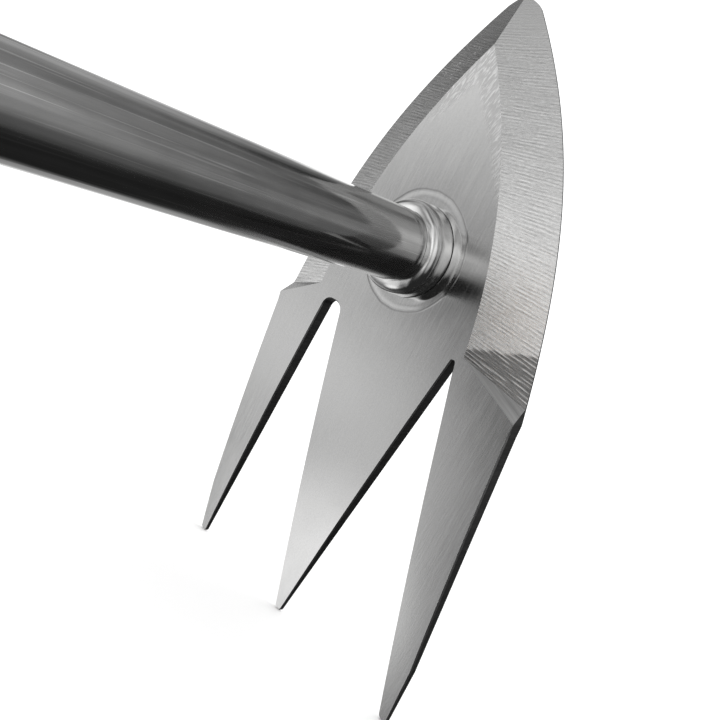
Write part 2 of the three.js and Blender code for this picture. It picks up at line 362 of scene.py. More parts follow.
@dataclass(frozen=True)
class Surface:
    """What a finish says about a point of its surface.

    Args:
        tone: Lightness of the colour, 0 to 1.
        roughness: How matt it is, 0 to 1.
        relief: Height in millimetres.
    """

    tone: SocketValue
    roughness: SocketValue
    relief: SocketValue = 0.0

    def laid(self, layers: list[tuple[Shade, Effect]]) -> "Surface":
        """This surface with the effect of each mask laid over it.

        Args:
            layers: Masks and what each one adds.

        Returns:
            The new surface.
        """
        values = [self.tone, self.roughness, self.relief]
        for mask, effect in layers:
            pairs = zip(values, (effect.tone, effect.roughness, effect.relief))
            values = [value + mask * amount if amount else value for value, amount in pairs]
        return Surface(*values)

    def toned(self, factor: Shade) -> "Surface":
        """This surface with its lightness multiplied by a factor."""
        return Surface(factor * self.tone, self.roughness, self.relief)


@dataclass(frozen=True)
class Steel:
    """Bare stainless steel with lines left by working it.

    Args:
        name: The material's name.
        tone: Lightness of the metal.
        roughness: Overall roughness.
        line_angle: Which way the lines run, in degrees from the head's x axis.
        lines: The lines, with their length first.
        line_effect: What the lines do to the surface.
        cloud_size: Size of the soft clouds in the finish, in millimetres.
        cloud_effect: What the clouds do to the surface.
        tint: The metal's colour at full lightness.
    """

    name: str
    tone: float
    roughness: float
    line_angle: float = 90.0
    lines: Grain = Grain((9.0, 0.35, 0.35), 3.0)
    line_effect: Effect = Effect(0.1, 0.1, 0.003)
    cloud_size: float = 14.0
    cloud_effect: Effect = Effect(0.06, 0.08)
    tint: tuple[float, float, float] = (1.0, 0.998, 0.992)

    def clouds(self, graph: Graph, place: bpy.types.NodeSocket) -> Shade:
        """The soft clouds in the finish."""
        return graph.grain(place, Grain((self.cloud_size,) * 3, 2.0, 9.0))

    def surface(self, graph: Graph, place: bpy.types.NodeSocket) -> Surface:
        """The finish at a place on the piece."""
        along = graph.turned(place, self.line_angle)
        longer = Grain(tuple(LONG_LINE * length for length in self.lines.size), 1.0, 5.0)
        lines = graph.grain(along, self.lines) + graph.grain(along, longer) * LONG_LINE_SHARE
        layers = [(lines, self.line_effect), (self.clouds(graph, place), self.cloud_effect)]
        return Surface(self.tone, self.roughness).laid(layers)

    def material(self) -> bpy.types.Material:
        """The finish as a material."""
        graph, made = new_material(self.name)
        surface = self.surface(graph, graph.millimetres())
        sockets = {
            "Base Color": graph.grey(surface.tone, self.tint),
            "Metallic": 1.0,
            "Roughness": surface.roughness,
        }
        graph.finish(sockets, surface.relief)
        return made


@dataclass(frozen=True)
class PlateFace(Steel):
    """Satin plate with the polished halo that cleaning up the weld leaves round it.

    Args:
        weld_centre: Middle of the weld, in the head's frame.
        halo_radius: Outer radius of the halo.
        halo_width: How wide its raised lip is.
        halo_edge: How soft its outer edge is.
        shadow_line_width: How wide the line round it is, a painted shadow over a shallow groove.
        wobble: How the halo strays from a circle.
        wobble_reach: How far it strays.
        apron_reach: Radius of the smoother plate round it, in halo radii.
        glitter_angle: Which way the nicks beside the bevels run, in degrees from the x axis.
        nicks: The nicks, with their length first.
        nick_range: The noise values between which a nick goes from unseen to full.
        pits: The fine pits all over the face.
        front: Heights between which the back goes over to the front.
        halo_effect: What the halo does to the surface.
        shadow_line_effect: What that line does: painted shadow in its darker tone, and a shallow groove.
        lip_effect: What its raised lip does.
        apron_effect: What the smoother plate round it does.
        pit_effect: What the pits do.
        spark_effect: What the bright side of a nick does.
        nick_effect: What a nick does.
        worked_effect: What the whole nicked band does.
        back_effect: What the unworked back does.
    """

    weld_centre: tuple[float, float] = (0.0, 0.0)
    halo_radius: float = 21.0
    halo_width: float = 4.5
    halo_edge: float = 0.7
    shadow_line_width: float = 0.6
    wobble: Grain = Grain((9.0, 9.0, 9.0), 1.0, 3.0)
    wobble_reach: float = 1.2
    apron_reach: float = 1.7
    glitter_angle: float = 68.0
    nicks: Grain = Grain((2.4, 0.42, 0.42), 2.0, 12.0)
    nick_range: tuple[float, float] = (-0.02, 0.16)
    pits: Grain = Grain((0.5, 0.5, 0.5), 1.0, 15.0)
    front: tuple[float, float] = (-4.6, -4.0)
    halo_effect: Effect = Effect(0.04, -0.02, -0.03)
    shadow_line_effect: Effect = Effect(-0.2, 0.0, -0.03)
    lip_effect: Effect = Effect(relief=0.06)
    apron_effect: Effect = Effect(roughness=-0.09)
    pit_effect: Effect = Effect(0.1, 0.0, 0.004)
    spark_effect: Effect = Effect(0.3)
    nick_effect: Effect = Effect(relief=0.03)
    worked_effect: Effect = Effect(roughness=0.1)
    back_effect: Effect = Effect(roughness=0.25)

    def surface(self, graph: Graph, place: bpy.types.NodeSocket) -> Surface:
        """The satin finish, with the halo and the nicks laid over it, lightened by the painted sheen on
        the tines.
        """
        radius, half = self.halo_radius, self.halo_width / 2
        front = graph.parts(place)[2].rise(*self.front)
        wobble = graph.grain(place, self.wobble) * self.wobble_reach
        away = graph.distance(place, self.weld_centre) + wobble + (1 - front) * FAR_AWAY
        nicks = graph.grain(graph.turned(place, self.glitter_angle), self.nicks)
        worked = graph.field(GLITTER) * front
        layers = [
            (away.rise(radius, radius - self.halo_edge), self.halo_effect),
            # painted shadow line round the halo's edge, over a real shallow groove
            (away.band(radius, self.shadow_line_width), self.shadow_line_effect),
            (away.band(radius - half, half), self.lip_effect),
            (away.rise(self.apron_reach * radius, radius), self.apron_effect),
            (graph.grain(place, self.pits), self.pit_effect),
            (nicks.rise(*self.nick_range) * worked, self.spark_effect),
            (nicks * worked, self.nick_effect),
            (worked, self.worked_effect),
            (1 - front, self.back_effect),
        ]
        # The tone is multiplied by the painted sheen on the tines.
        return super().surface(graph, place).laid(layers).toned(graph.field(PAINTED_SHEEN))


@dataclass(frozen=True)
class GroundBevel(Steel):
    """A bevel with the evenly spaced lines of a grinding belt, which fan out towards the point.

    Args:
        side: Which side of the plate it is on.
        pitch: Distance between two lines, in millimetres.
        start_slope: How the lines climb at the root line.
        slope_gain: How much more they climb with each millimetre towards the point.
        slope_hinge: Distance from the middle line at which the lines are counted.
        drift: How the lines stray from even spacing.
        drift_reach: How far they stray, in lines.
        strength: Where the lines are strong or faint.
        strength_range: The noise values between which they go from faint to strong.
        scuffs: Short marks across the lines.
        shares: Shares of the even lines, the fine lines and the scuffs.
        smooth_point: Places between which the lines fade towards the point.
        faded: What is left of them at the point.
        dark_end: Where the last pass of the belt stops, in millimetres from the root line.
        dark_slope: How much further from the root it stops with each millimetre outwards.
        dark_hinge: Distance from the middle line at which dark_end holds.
        dark_share: How much darker the metal beyond it is.
        dark_fray: How far the fine lines and the drift fray its border.
        dark_edge: Half of how soft its border is.
        streak_shares: Shares of the even and the fine lines in the light streaks within it.
        streak_range: The values between which a streak goes from unseen to full.
        streak_share: How much of the darkness a streak takes away.
        glints: Stray glints.
        glint_range: The noise values between which a glint goes from unseen to full.
        glint_patches: Where the glints lie.
        patch_range: The noise values between which a patch goes from empty to full.
        glint_zone: Middle and half width of the part of the bevel that has glints.
        glint_effect: What a glint does to the surface.
    """

    side: Side = Side.RIGHT
    pitch: float = 1.12
    start_slope: float = -0.18
    slope_gain: float = 0.0042
    slope_hinge: float = 30.0
    drift: Grain = Grain((18.0, 3.4, 9.0), 2.0, 2.0)
    drift_reach: float = 1.3
    strength: Grain = Grain((7.0, 2.2, 5.0), 1.0, 6.0)
    strength_range: tuple[float, float] = (-0.16, 0.14)
    scuffs: Grain = Grain((1.3, 0.5, 0.8), 1.0, 4.0)
    shares: tuple[float, float, float] = (0.25, 0.9, 0.7)
    smooth_point: tuple[float, float] = (104.0, 84.0)
    faded: float = 0.25
    dark_end: float = -0.1
    dark_slope: float = 0.31
    dark_hinge: float = 39.0
    dark_share: float = 0.66
    dark_fray: tuple[float, float] = (3.0, 1.5)
    dark_edge: float = 0.5
    streak_shares: tuple[float, float] = (0.5, 1.6)
    streak_range: tuple[float, float] = (0.05, 0.5)
    streak_share: float = 0.6
    glints: Grain = Grain((1.5, 0.55, 1.0), 1.0, 21.0)
    glint_range: tuple[float, float] = (0.13, 0.22)
    glint_patches: Grain = Grain((8.0, 8.0, 8.0), 1.0, 7.0)
    patch_range: tuple[float, float] = (-0.08, 0.12)
    glint_zone: tuple[float, float] = (81.0, 22.5)
    glint_effect: Effect = Effect(0.35, 0.1, 0.02)

    def surface(self, graph: Graph, place: bpy.types.NodeSocket) -> Surface:
        """The grinding lines, the darker end and the glints."""
        x, y, z = graph.parts(place)
        outwards = x * self.side.value
        across = y - (outwards - self.slope_hinge) * (y * self.slope_gain + self.start_slope)
        laid = graph.joined(outwards, across, z)
        drift = graph.grain(laid, self.drift)
        strength = graph.grain(laid, self.strength).rise(*self.strength_range)
        belt = (across * (1 / self.pitch) + drift * self.drift_reach).wave() * strength
        fine = graph.grain(laid, self.lines)
        scuffs = graph.grain(laid, self.scuffs)
        kept = y.rise(*self.smooth_point) * (1 - self.faded) + self.faded
        lines = (belt * self.shares[0] + fine * self.shares[1] + scuffs * self.shares[2]) * kept
        end = (outwards - self.dark_hinge) * self.dark_slope + self.dark_end
        past = y - end + fine * self.dark_fray[0] + drift * self.dark_fray[1]
        streaks = (belt * self.streak_shares[0] + fine * self.streak_shares[1]).rise(*self.streak_range)
        dark = past.rise(self.dark_edge, -self.dark_edge) * (1 - streaks * self.streak_share)
        patches = graph.grain(place, self.glint_patches).rise(*self.patch_range)
        spots = graph.grain(laid, self.glints).rise(*self.glint_range)
        glints = spots * patches * y.band(*self.glint_zone)
        layers = [
            (lines, Effect(self.line_effect.tone, 0.0, self.line_effect.relief)),
            (fine, Effect(roughness=self.line_effect.roughness)),
            (self.clouds(graph, place), Effect(self.cloud_effect.tone)),
            (glints, self.glint_effect),
        ]
        # The painted sheen on the mesh's points, with the darker end taken off.
        shade = graph.field(PAINTED_SHEEN) * (1 - dark * self.dark_share)
        return Surface(self.tone, self.roughness).laid(layers).toned(shade)


@dataclass(frozen=True)
class PolishedTube(Steel):
    """Tube polished along its length, with long streaks: ridges in its relief and painted highlight in
    its tone.

    Args:
        streaks: The broad streaks, longest along the tube.
        hairlines: The fine scratches.
        hairline_range: The noise values between which a scratch goes from unseen to full.
        mottle: The soft unevenness of the wall.
        dull_range: The streak values between which the wall goes from bright to dull.
        streak_highlight_effect: What a streak does: a ridge, and painted highlight in its lighter and
            darker tone.
        hairline_highlight_effect: What a fine scratch does: a painted highlight along it.
        mottle_effect: What the unevenness does.
        dull_effect: What a dull stretch of the wall does.
    """

    streaks: Grain = Grain((3.4, 3.4, 120.0), 2.0, 5.0)
    hairlines: Grain = Grain((0.5, 0.5, 40.0), 1.0, 11.0)
    hairline_range: tuple[float, float] = (0.1, 0.28)
    mottle: Grain = Grain((4.0, 4.0, 9.0), 2.0, 14.0)
    dull_range: tuple[float, float] = (-0.05, 0.25)
    streak_highlight_effect: Effect = Effect(0.55, 0.0, 0.11)
    hairline_highlight_effect: Effect = Effect(0.34)
    mottle_effect: Effect = Effect(0.16, 0.06, 0.012)
    dull_effect: Effect = Effect(roughness=0.12)

    def surface(self, graph: Graph, place: bpy.types.NodeSocket) -> Surface:
        """The polish with its streaks and hairlines, both lightened in tone as painted highlights."""
        streaks = graph.grain(place, self.streaks)
        layers = [
            (streaks, self.streak_highlight_effect),
            (graph.grain(place, self.hairlines).rise(*self.hairline_range), self.hairline_highlight_effect),
            (graph.grain(place, self.mottle), self.mottle_effect),
            (streaks.rise(*self.dull_range), self.dull_effect),
        ]
        return super().surface(graph, place).laid(layers)


@dataclass(frozen=True)
class Wood:
    """Turned and oiled ash, its grain along the handle.

    Args:
        name: The material's name.
        light: Colour of the early wood.
        dark: Colour of the late wood.
        roughness: Overall roughness.
        gloss: How strongly the oil shines.
        heart: Where the tree's middle was, beside the handle's axis.
        waver: How the year rings waver along the handle.
        waver_reach: How far they waver, in millimetres.
        ring_width: Half the distance between two year rings.
        late_range: Where in a ring the late wood begins and is full.
        early_range: Where in a ring the pores fade out and are full.
        fibre: The fibres.
        pores: The open pores of the early wood.
        pore_range: The noise values between which a pore goes from unseen to full.
        darkness: Base darkness, then the shares of late wood, fibres and pores.
        relief: Heights of the fibres, pores and late wood, in millimetres.
        matt: How much the fibres and the late wood add to the roughness.
    """

    name: str = "oiled_ash"
    light: tuple[float, float, float] = (0.56, 0.36, 0.19)
    dark: tuple[float, float, float] = (0.33, 0.18, 0.08)
    roughness: float = 0.5
    gloss: float = 0.42
    heart: tuple[float, float] = (31.0, -24.0)
    waver: Grain = Grain((22.0, 22.0, 160.0))
    waver_reach: float = 14.0
    ring_width: float = 2.1
    late_range: tuple[float, float] = (1.1, 2.1)
    early_range: tuple[float, float] = (1.2, 0.2)
    fibre: Grain = Grain((0.5, 0.5, 26.0), 3.0, 4.0)
    pores: Grain = Grain((0.35, 0.35, 5.0), 1.0, 8.0)
    pore_range: tuple[float, float] = (0.12, 0.3)
    darkness: tuple[float, float, float, float] = (0.1, 0.62, 0.5, 0.5)
    relief: tuple[float, float, float] = (0.02, -0.05, -0.01)
    matt: tuple[float, float] = (0.16, 0.06)

    def material(self) -> bpy.types.Material:
        """The finish as a material."""
        graph, made = new_material(self.name)
        place = graph.millimetres()
        heart = graph.distance(place, self.heart) + graph.grain(place, self.waver) * self.waver_reach
        rings = heart.zigzag(self.ring_width)
        late = rings.rise(*self.late_range)
        fibre = graph.grain(place, self.fibre)
        pores = graph.grain(place, self.pores).rise(*self.pore_range) * rings.rise(*self.early_range)
        base, of_late, of_fibre, of_pores = self.darkness
        amount = (late * of_late + fibre * of_fibre + pores * of_pores + base).at_least(0.0).at_most(1.0)
        sockets = {
            "Base Color": graph.ramp(amount, [(0.0, self.light), (1.0, self.dark)]),
            "Roughness": self.roughness + fibre * self.matt[0] + late * self.matt[1],
            "Specular IOR Level": self.gloss,
        }
        graph.finish(sockets, fibre * self.relief[0] + pores * self.relief[1] + late * self.relief[2])
        return made


# ---------------------------------------------------------------- meshes


class Sheets:
    """Gathers sheets of faces that share their border points, and welds them into one mesh."""

    def __init__(self) -> None:
        self.points: list[np.ndarray] = []
        self.faces: list[tuple[int, ...]] = []
        self.zones: list[int] = []
        self.count = 0

    def add(self, points: np.ndarray, faces: list[tuple[int, ...]], zone: int = 0) -> None:
        """Adds points and the faces over them.

        Args:
            points: Places in millimetres, one row each.
            faces: Corner numbers within points.
            zone: Material slot of these faces.
        """
        self.points.append(np.asarray(points, float))
        self.faces += [tuple(corner + self.count for corner in face) for face in faces]
        self.zones += [zone] * len(faces)
        self.count += len(points)

    def grid(self, rows: np.ndarray, zone: int = 0, closed: bool = False) -> None:
        """Adds a grid of quads.

        Args:
            rows: An array of rows by columns by 3.
            zone: Material slot.
            closed: Whether the last column joins the first.
        """
        count, across = rows.shape[:2]
        faces = []
        for row in range(count - 1):
            for column in range(across if closed else across - 1):
                here, beside = row * across + column, row * across + (column + 1) % across
                faces.append((here, beside, beside + across, here + across))
        self.add(rows.reshape(-1, 3), faces, zone)

    def mesh(self, name: str, sharp_degrees: float, weld: float = 0.002) -> bpy.types.Mesh:
        """Welds what was added into one smooth mesh, with its creases kept sharp.

        Args:
            name: The mesh's name.
            sharp_degrees: Angle above which an edge is a crease.
            weld: Points nearer than this become one, in millimetres.

        Returns:
            The mesh, in metres.
        """
        made = bpy.data.meshes.new(name)
        made.from_pydata((np.vstack(self.points) * MM).tolist(), [], self.faces)
        made.polygons.foreach_set("material_index", self.zones)
        work = bmesh.new()
        work.from_mesh(made)
        bmesh.ops.remove_doubles(work, verts=work.verts, dist=weld * MM)
        bmesh.ops.dissolve_degenerate(work, dist=weld * MM * 0.1, edges=work.edges)
        bmesh.ops.recalc_face_normals(work, faces=work.faces)
        work.to_mesh(made)
        work.free()
        made.shade_smooth()
        made.set_sharp_from_angle(angle=math.radians(sharp_degrees))
        return made


def lathe(profile: list[tuple[float, float]], sides: int) -> np.ndarray:
    """A profile of (radius, height) pairs turned about the z axis.

    Args:
        profile: Pairs in millimetres. A radius of 0 closes the piece on its axis.
        sides: Facets round the axis.

    Returns:
        Rows of points, one row for each pair.
    """
    angle = np.linspace(0.0, 2 * math.pi, sides, endpoint=False)
    pairs = np.array(profile)
    x = pairs[:, :1] * np.cos(angle)
    y = pairs[:, :1] * np.sin(angle)
    return np.stack([x, y, np.broadcast_to(pairs[:, 1:], x.shape)], axis=2)


def quarter_round(
    start: tuple[float, float], end: tuple[float, float], steps: int
) -> list[tuple[float, float]]:
    """A quarter ellipse of (radius, height) pairs that arrives upright at its end."""
    angle = np.linspace(0.0, math.pi / 2, steps + 1)
    radius = start[0] + (end[0] - start[0]) * np.sin(angle)
    height = start[1] + (end[1] - start[1]) * (1 - np.cos(angle))
    return list(zip(radius.tolist(), height.tolist()))


def subdivided(profile: list[tuple[float, float]], longest: float) -> list[tuple[float, float]]:
    """The same profile with no step longer than longest."""
    out = [profile[0]]
    for start, end in zip(profile, profile[1:]):
        steps = max(1, math.ceil(math.dist(start, end) / longest))
        for step in range(1, steps + 1):
            share = step / steps
            out.append((start[0] + (end[0] - start[0]) * share, start[1] + (end[1] - start[1]) * share))
    return out


def bezier(
    start: np.ndarray, first: np.ndarray, second: np.ndarray, end: np.ndarray, at: np.ndarray
) -> np.ndarray:
    """Points of a cubic Bezier curve at the shares in at."""
    t = at[:, None]
    return (1 - t) ** 3 * start + 3 * (1 - t) ** 2 * t * first + 3 * (1 - t) * t**2 * second + t**3 * end


def lumps(points: np.ndarray, size: float, seed: float) -> np.ndarray:
    """Smooth noise at each point, from about -1 to 1.

    Args:
        points: Places, one row each, in millimetres.
        size: How big a lump is, in millimetres.
        seed: Moves the pattern.

    Returns:
        One number for each point.
    """
    flat = points.reshape(-1, 3) / size + seed
    values = [noise.noise(Vector(place)) for place in flat.tolist()]
    return np.array(values).reshape(points.shape[:-1])


# ---------------------------------------------------------------- the head's frame


@dataclass
class HeadFrame:
    """Where the head's own frame lies in the row frame.

    Args:
        socket_offset: The socket's axis beside the middle of the plate.
        socket_height: The socket's axis above the root line.
        plate_thickness: The plate's thickness.
        mount: Name of the mount on the plate's back, on the socket's axis.
    """

    socket_offset: float = -1.8
    socket_height: float = 19.4
    plate_thickness: float = 5.0
    mount: str = "plate_back"

    def matrix(self, record: dict) -> Matrix:
        """The matrix from the head's frame to the row frame.

        Args:
            record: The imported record, which holds the mounts.

        Returns:
            A rotation and a move, both in metres.
        """
        mount = next(entry for entry in record["mounts"] if entry["name"] == self.mount)
        across = Vector((1.0, 0.0, 0.0))
        outwards = -Vector(mount["axis"]).normalized()
        lengthwise = outwards.cross(across).normalized()
        origin = (
            Vector(mount["pos_m"])
            - across * self.socket_offset * MM
            - lengthwise * self.socket_height * MM
            + outwards * self.plate_thickness * MM
        )
        turn = Matrix((across, lengthwise, outwards)).transposed().to_4x4()
        return Matrix.Translation(origin) @ turn


@dataclass
class Bench:
    """Puts finished meshes into the scene as pieces of the object.

    Args:
        head: The matrix from the head's frame to the row frame.
    """

    head: Matrix

    def place(
        self,
        mesh: bpy.types.Mesh,
        materials: list[bpy.types.Material],
        node: str,
        slot: str,
        local: Matrix | None = None,
    ) -> bpy.types.Object:
        """Adds a piece that stands for a CAD node.

        Args:
            mesh: Its mesh, in metres.
            materials: Its materials, by slot number.
            node: The CAD node that it replaces.
            slot: The record's material slot. Not used.
            local: Where it lies in the head's frame, if not at its origin.

        Returns:
            The piece.
        """
        piece = bpy.data.objects.new(node + "_finished", mesh)
        for material in materials:
            mesh.materials.append(material)
        bpy.context.scene.collection.objects.link(piece)
        piece.matrix_world = self.head @ (local or Matrix.Identity(4))
        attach(piece, "root")
        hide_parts(node)
        log.info("%s: %d points, %d faces", piece.name, len(mesh.vertices), len(mesh.polygons))
        return piece


# ---------------------------------------------------------------- head plate


@dataclass
class HeadPlate:
    """The ground blade and the three tines, cut from one plate. Sizes are in millimetres."""

    thickness: float = 5.0
    blade_length: float = 112.0
    tine_length: float = 120.5
    shoulder: tuple[float, float] = (58.0, -15.6)
    edge_angles: tuple[float, float] = (9.0, 41.6)
    edge_reaches: tuple[float, float] = (56.0, 53.0)
    point_rounding: float = 1 / 15
    point_crown: float = 0.9
    bevel_width: float = 22.3
    bevel_drop: float = 5.0
    bevel_angles: tuple[float, float] = (4.2, 35.8)
    bevel_reaches: tuple[float, float] = (39.0, 30.0)
    ridge_length: float = 22.0
    ridge_offset: float = -2.4
    land: float = 0.5
    run_out: float = 4.6
    run_out_share: float = 1 / 23
    tip_thickness: float = 1.5
    taper_start: float = 12.0
    tip_half_span: float = 57.0
    bulge: tuple[float, float] = (1.6, 100.0)
    tip_widths: tuple[float, float] = (3.5, 3.2)
    centre_tip_offset: float = -1.9
    tip_radius: float = 1.4
    left_slot: tuple[float, float, float, float] = (-28.6, 8.3, 3.9, 8.5)
    right_slot: tuple[float, float, float, float] = (30.0, 1.2, 0.4, 7.5)
    chamfer: float = 0.42
    back_chamfer: float = 0.8  # size of the back's chamfer, as a share of the front's
    spacing: float = 1.7
    back_spacing: float = 6.0
    row_step: float = 0.87  # distance between rows of points inside an outline, in spacings
    clearance: float = 0.45  # how near to the outline such a point may lie, in spacings
    edge_rows: int = 150
    crowding: float = 1.1  # above 1 the rows crowd towards the shoulder
    bevel_columns: int = 16
    shortest: float = 0.2  # least share of a bevel's row that is left at the rounded point
    facet_rows: int = 8
    weld_offset: float = 0.2  # middle of the weld beside the socket's axis
    nick_places: tuple[float, ...] = (38.0, 46.0, 70.0, 92.0)
    nick_widths: tuple[float, ...] = (0.0, 2.6, 7.5, 10.0)  # how far the nicks reach there
    nick_edge: float = 2.5
    left_nick_share: float = 0.9
    left_nick_start: tuple[float, float] = (60.0, 8.0)  # where the left ones start, and how softly
    # Painted sheen: the tines are painted lighter towards their tips, standing in for the brighter light
    # they reflect there.
    sheen_start: float = 52.0
    sheen_run: float = 42.0
    sheen_gain: float = 0.33
    sheen_skew: tuple[float, float, float] = (30.0, 43.0, 1.7)  # start, hinge and slope on the right tine

    def _side_curve(
        self,
        start: tuple[float, float],
        end: tuple[float, float],
        angles: tuple[float, float],
        reaches: tuple[float, float],
        at: np.ndarray,
    ) -> np.ndarray:
        """A curve on the +x side, from near the shoulder to the middle line."""
        leave, arrive = (math.radians(angle) for angle in angles)
        first, last = np.array(start), np.array(end)
        return bezier(
            first,
            first + reaches[0] * np.array((-math.sin(leave), math.cos(leave))),
            last + reaches[1] * np.array((math.sin(arrive), -math.cos(arrive))),
            last,
            at,
        )

    def edge(self, at: np.ndarray) -> np.ndarray:
        """The cutting edge on the +x side, before its point is rounded."""
        point = (0.0, self.blade_length)
        return self._side_curve(self.shoulder, point, self.edge_angles, self.edge_reaches, at)

    def bevel_line(self, at: np.ndarray) -> np.ndarray:
        """Where the grinding starts on the +x side, before it is moved by the ridge's offset."""
        corner = (self.shoulder[0] - self.bevel_width, -self.bevel_drop)
        foot = (0.0, self.blade_length - self.ridge_length)
        return self._side_curve(corner, foot, self.bevel_angles, self.bevel_reaches, at)

    def blade_outline(self) -> np.ndarray:
        """The blade's outline from the right shoulder over the rounded point to the left one."""
        right = self.edge(np.linspace(0.0, 1.0 - self.point_rounding, 400))
        last = right[-1]
        crown = np.array((0.0, last[1] + last[0] * self.point_crown))
        t = np.linspace(0.0, 1.0, 60)[1:-1, None]
        mirrored = last * (-1, 1)
        round_part = (1 - t) ** 2 * last + 2 * (1 - t) * t * crown + t**2 * mirrored
        return np.vstack([right, round_part, (right * (-1, 1))[::-1]])

    def _trim(self, inner: np.ndarray, outer: np.ndarray) -> float:
        """How far along inner-outer the blade's outline is, as a share of that length."""
        line = self.blade_outline()
        start, step = line[:-1], np.diff(line, axis=0)
        ray = outer - inner
        across = ray[0] * step[:, 1] - ray[1] * step[:, 0]
        across = np.where(np.abs(across) < TINY, TINY, across)
        gap = start - inner
        share = (gap[:, 0] * step[:, 1] - gap[:, 1] * step[:, 0]) / across
        along = (gap[:, 0] * ray[1] - gap[:, 1] * ray[0]) / across
        good = (along >= -1e-6) & (along <= 1 + 1e-6) & (share > self.shortest)
        return float(share[good].min()) if good.any() else 1.0

    def bevel(self, side: Side) -> np.ndarray:
        """The ground surface on one side.

        Args:
            side: Which side of the plate.

        Returns:
            Rows from the shoulder to the point, each from the bevel line to the cutting edge.
        """
        at = np.linspace(0.0, 1.0, self.edge_rows) ** self.crowding
        inner = self.bevel_line(at) * (side.value, 1) + (self.ridge_offset, 0)
        outer = self.edge(at) * (side.value, 1)
        outer[:, 1] += self.run_out * np.clip(1 - at / self.run_out_share, 0, None)
        depth = self.thickness - self.land
        columns = np.linspace(0.0, 1.0, self.bevel_columns + 1)
        rows = []
        for start, end in zip(inner, outer):
            shares = columns * self._trim(start, end)
            flat = start + shares[:, None] * (end - start)
            rows.append(np.column_stack([flat, -depth * shares]))
        return np.array(rows)

    def facet(self, side: Side, bevel: np.ndarray) -> np.ndarray:
        """The slope where the grinding wheel lifts out at the shoulder.

        Args:
            side: Which side of the plate.
            bevel: That side's ground surface, whose first row is one edge of the slope.

        Returns:
            Rows that all start at the bevel's inner corner.
        """
        corner, top = bevel[0, 0], bevel[0, -1]
        foot = np.array((self.shoulder[0] * side.value, self.shoulder[1], 0.0))
        columns = np.linspace(0.0, 1.0, self.bevel_columns + 1)[:, None]
        rows = []
        for share in np.linspace(0.0, 1.0, self.facet_rows + 1):
            end = foot + (top - foot) * share
            rows.append(corner + columns * (end - corner))
        rows[0][:, 2] = self.front_height(rows[0][:, 1])
        return np.array(rows)

    def front_height(self, y: np.ndarray) -> np.ndarray:
        """Height of the front face, which falls away to the thin tine tips."""
        share = np.clip((-self.taper_start - y) / (self.tine_length - self.taper_start), 0.0, 1.0)
        return -(self.thickness - self.tip_thickness) * share**2

    def tine_outline(self) -> np.ndarray:
        """The outline of the three tines, from the right shoulder to the left one."""
        tip, span = -self.tine_length, self.tip_half_span
        swell = span + self.bulge[0]
        middle, half = self.centre_tip_offset, self.tip_widths[1] / 2
        centre = (middle + half, middle - half)
        width, radius = self.tip_widths[0], self.tip_radius
        right, left = (
            (slot[0] + slot[1] / 2, slot[0] - slot[1] / 2) for slot in (self.right_slot, self.left_slot)
        )
        corners = [
            (*self.shoulder, 0.0),
            (swell, -self.bulge[1], 0.0),
            (span, tip, radius),
            (span - width, tip, radius),
            (right[0], -self.right_slot[3], self.right_slot[2]),
            (right[1], -self.right_slot[3], self.right_slot[2]),
            (centre[0], tip, radius),
            (centre[1], tip, radius),
            (left[0], -self.left_slot[3], self.left_slot[2]),
            (left[1], -self.left_slot[3], self.left_slot[2]),
            (width - span, tip, radius),
            (-span, tip, radius),
            (-swell, -self.bulge[1], 0.0),
            (-self.shoulder[0], self.shoulder[1], 0.0),
        ]
        points = [np.array(corners[0][:2])]
        for before, here, after in zip(corners, corners[1:], corners[2:]):
            flat = (np.array(corner[:2]) for corner in (before, here, after))
            points += self._rounded(*flat, here[2])
        points.append(np.array(corners[-1][:2]))
        return np.array(subdivided([tuple(point) for point in points], self.spacing))

    @staticmethod
    def _rounded(
        before: np.ndarray, here: np.ndarray, after: np.ndarray, radius: float
    ) -> list[np.ndarray]:
        """The points of one corner, rounded to a radius."""
        if radius == 0:
            return [here]
        back = (before - here) / np.linalg.norm(before - here)
        on = (after - here) / np.linalg.norm(after - here)
        half = math.acos(float(np.clip(back @ on, -1, 1))) / 2
        start, end = here + back * radius / math.tan(half), here + on * radius / math.tan(half)
        middle = (back + on) / np.linalg.norm(back + on)
        centre = here + middle * radius / math.sin(half)
        first = math.atan2(*(start - centre)[::-1])
        turn = (math.atan2(*(end - centre)[::-1]) - first + math.pi) % (2 * math.pi) - math.pi
        angles = first + turn * np.linspace(0.0, 1.0, 13)
        return [centre + radius * np.array((math.cos(a), math.sin(a))) for a in angles]

    def _inset(self, outline: np.ndarray, depth: np.ndarray) -> np.ndarray:
        """An open outline moved into the plate by depth at each point."""
        step = np.diff(outline, axis=0)
        step /= np.linalg.norm(step, axis=1)[:, None]
        inwards = np.column_stack([step[:, 1], -step[:, 0]])
        joint = np.vstack([inwards[:1], inwards[:-1] + inwards[1:], inwards[-1:]])
        joint /= np.linalg.norm(joint, axis=1)[:, None]
        lead = np.vstack([inwards[:1], inwards[1:], inwards[-1:]])
        mitre = 1 / np.clip((joint * lead).sum(axis=1), 0.7, 1.0)
        return outline + joint * (depth * mitre)[:, None]

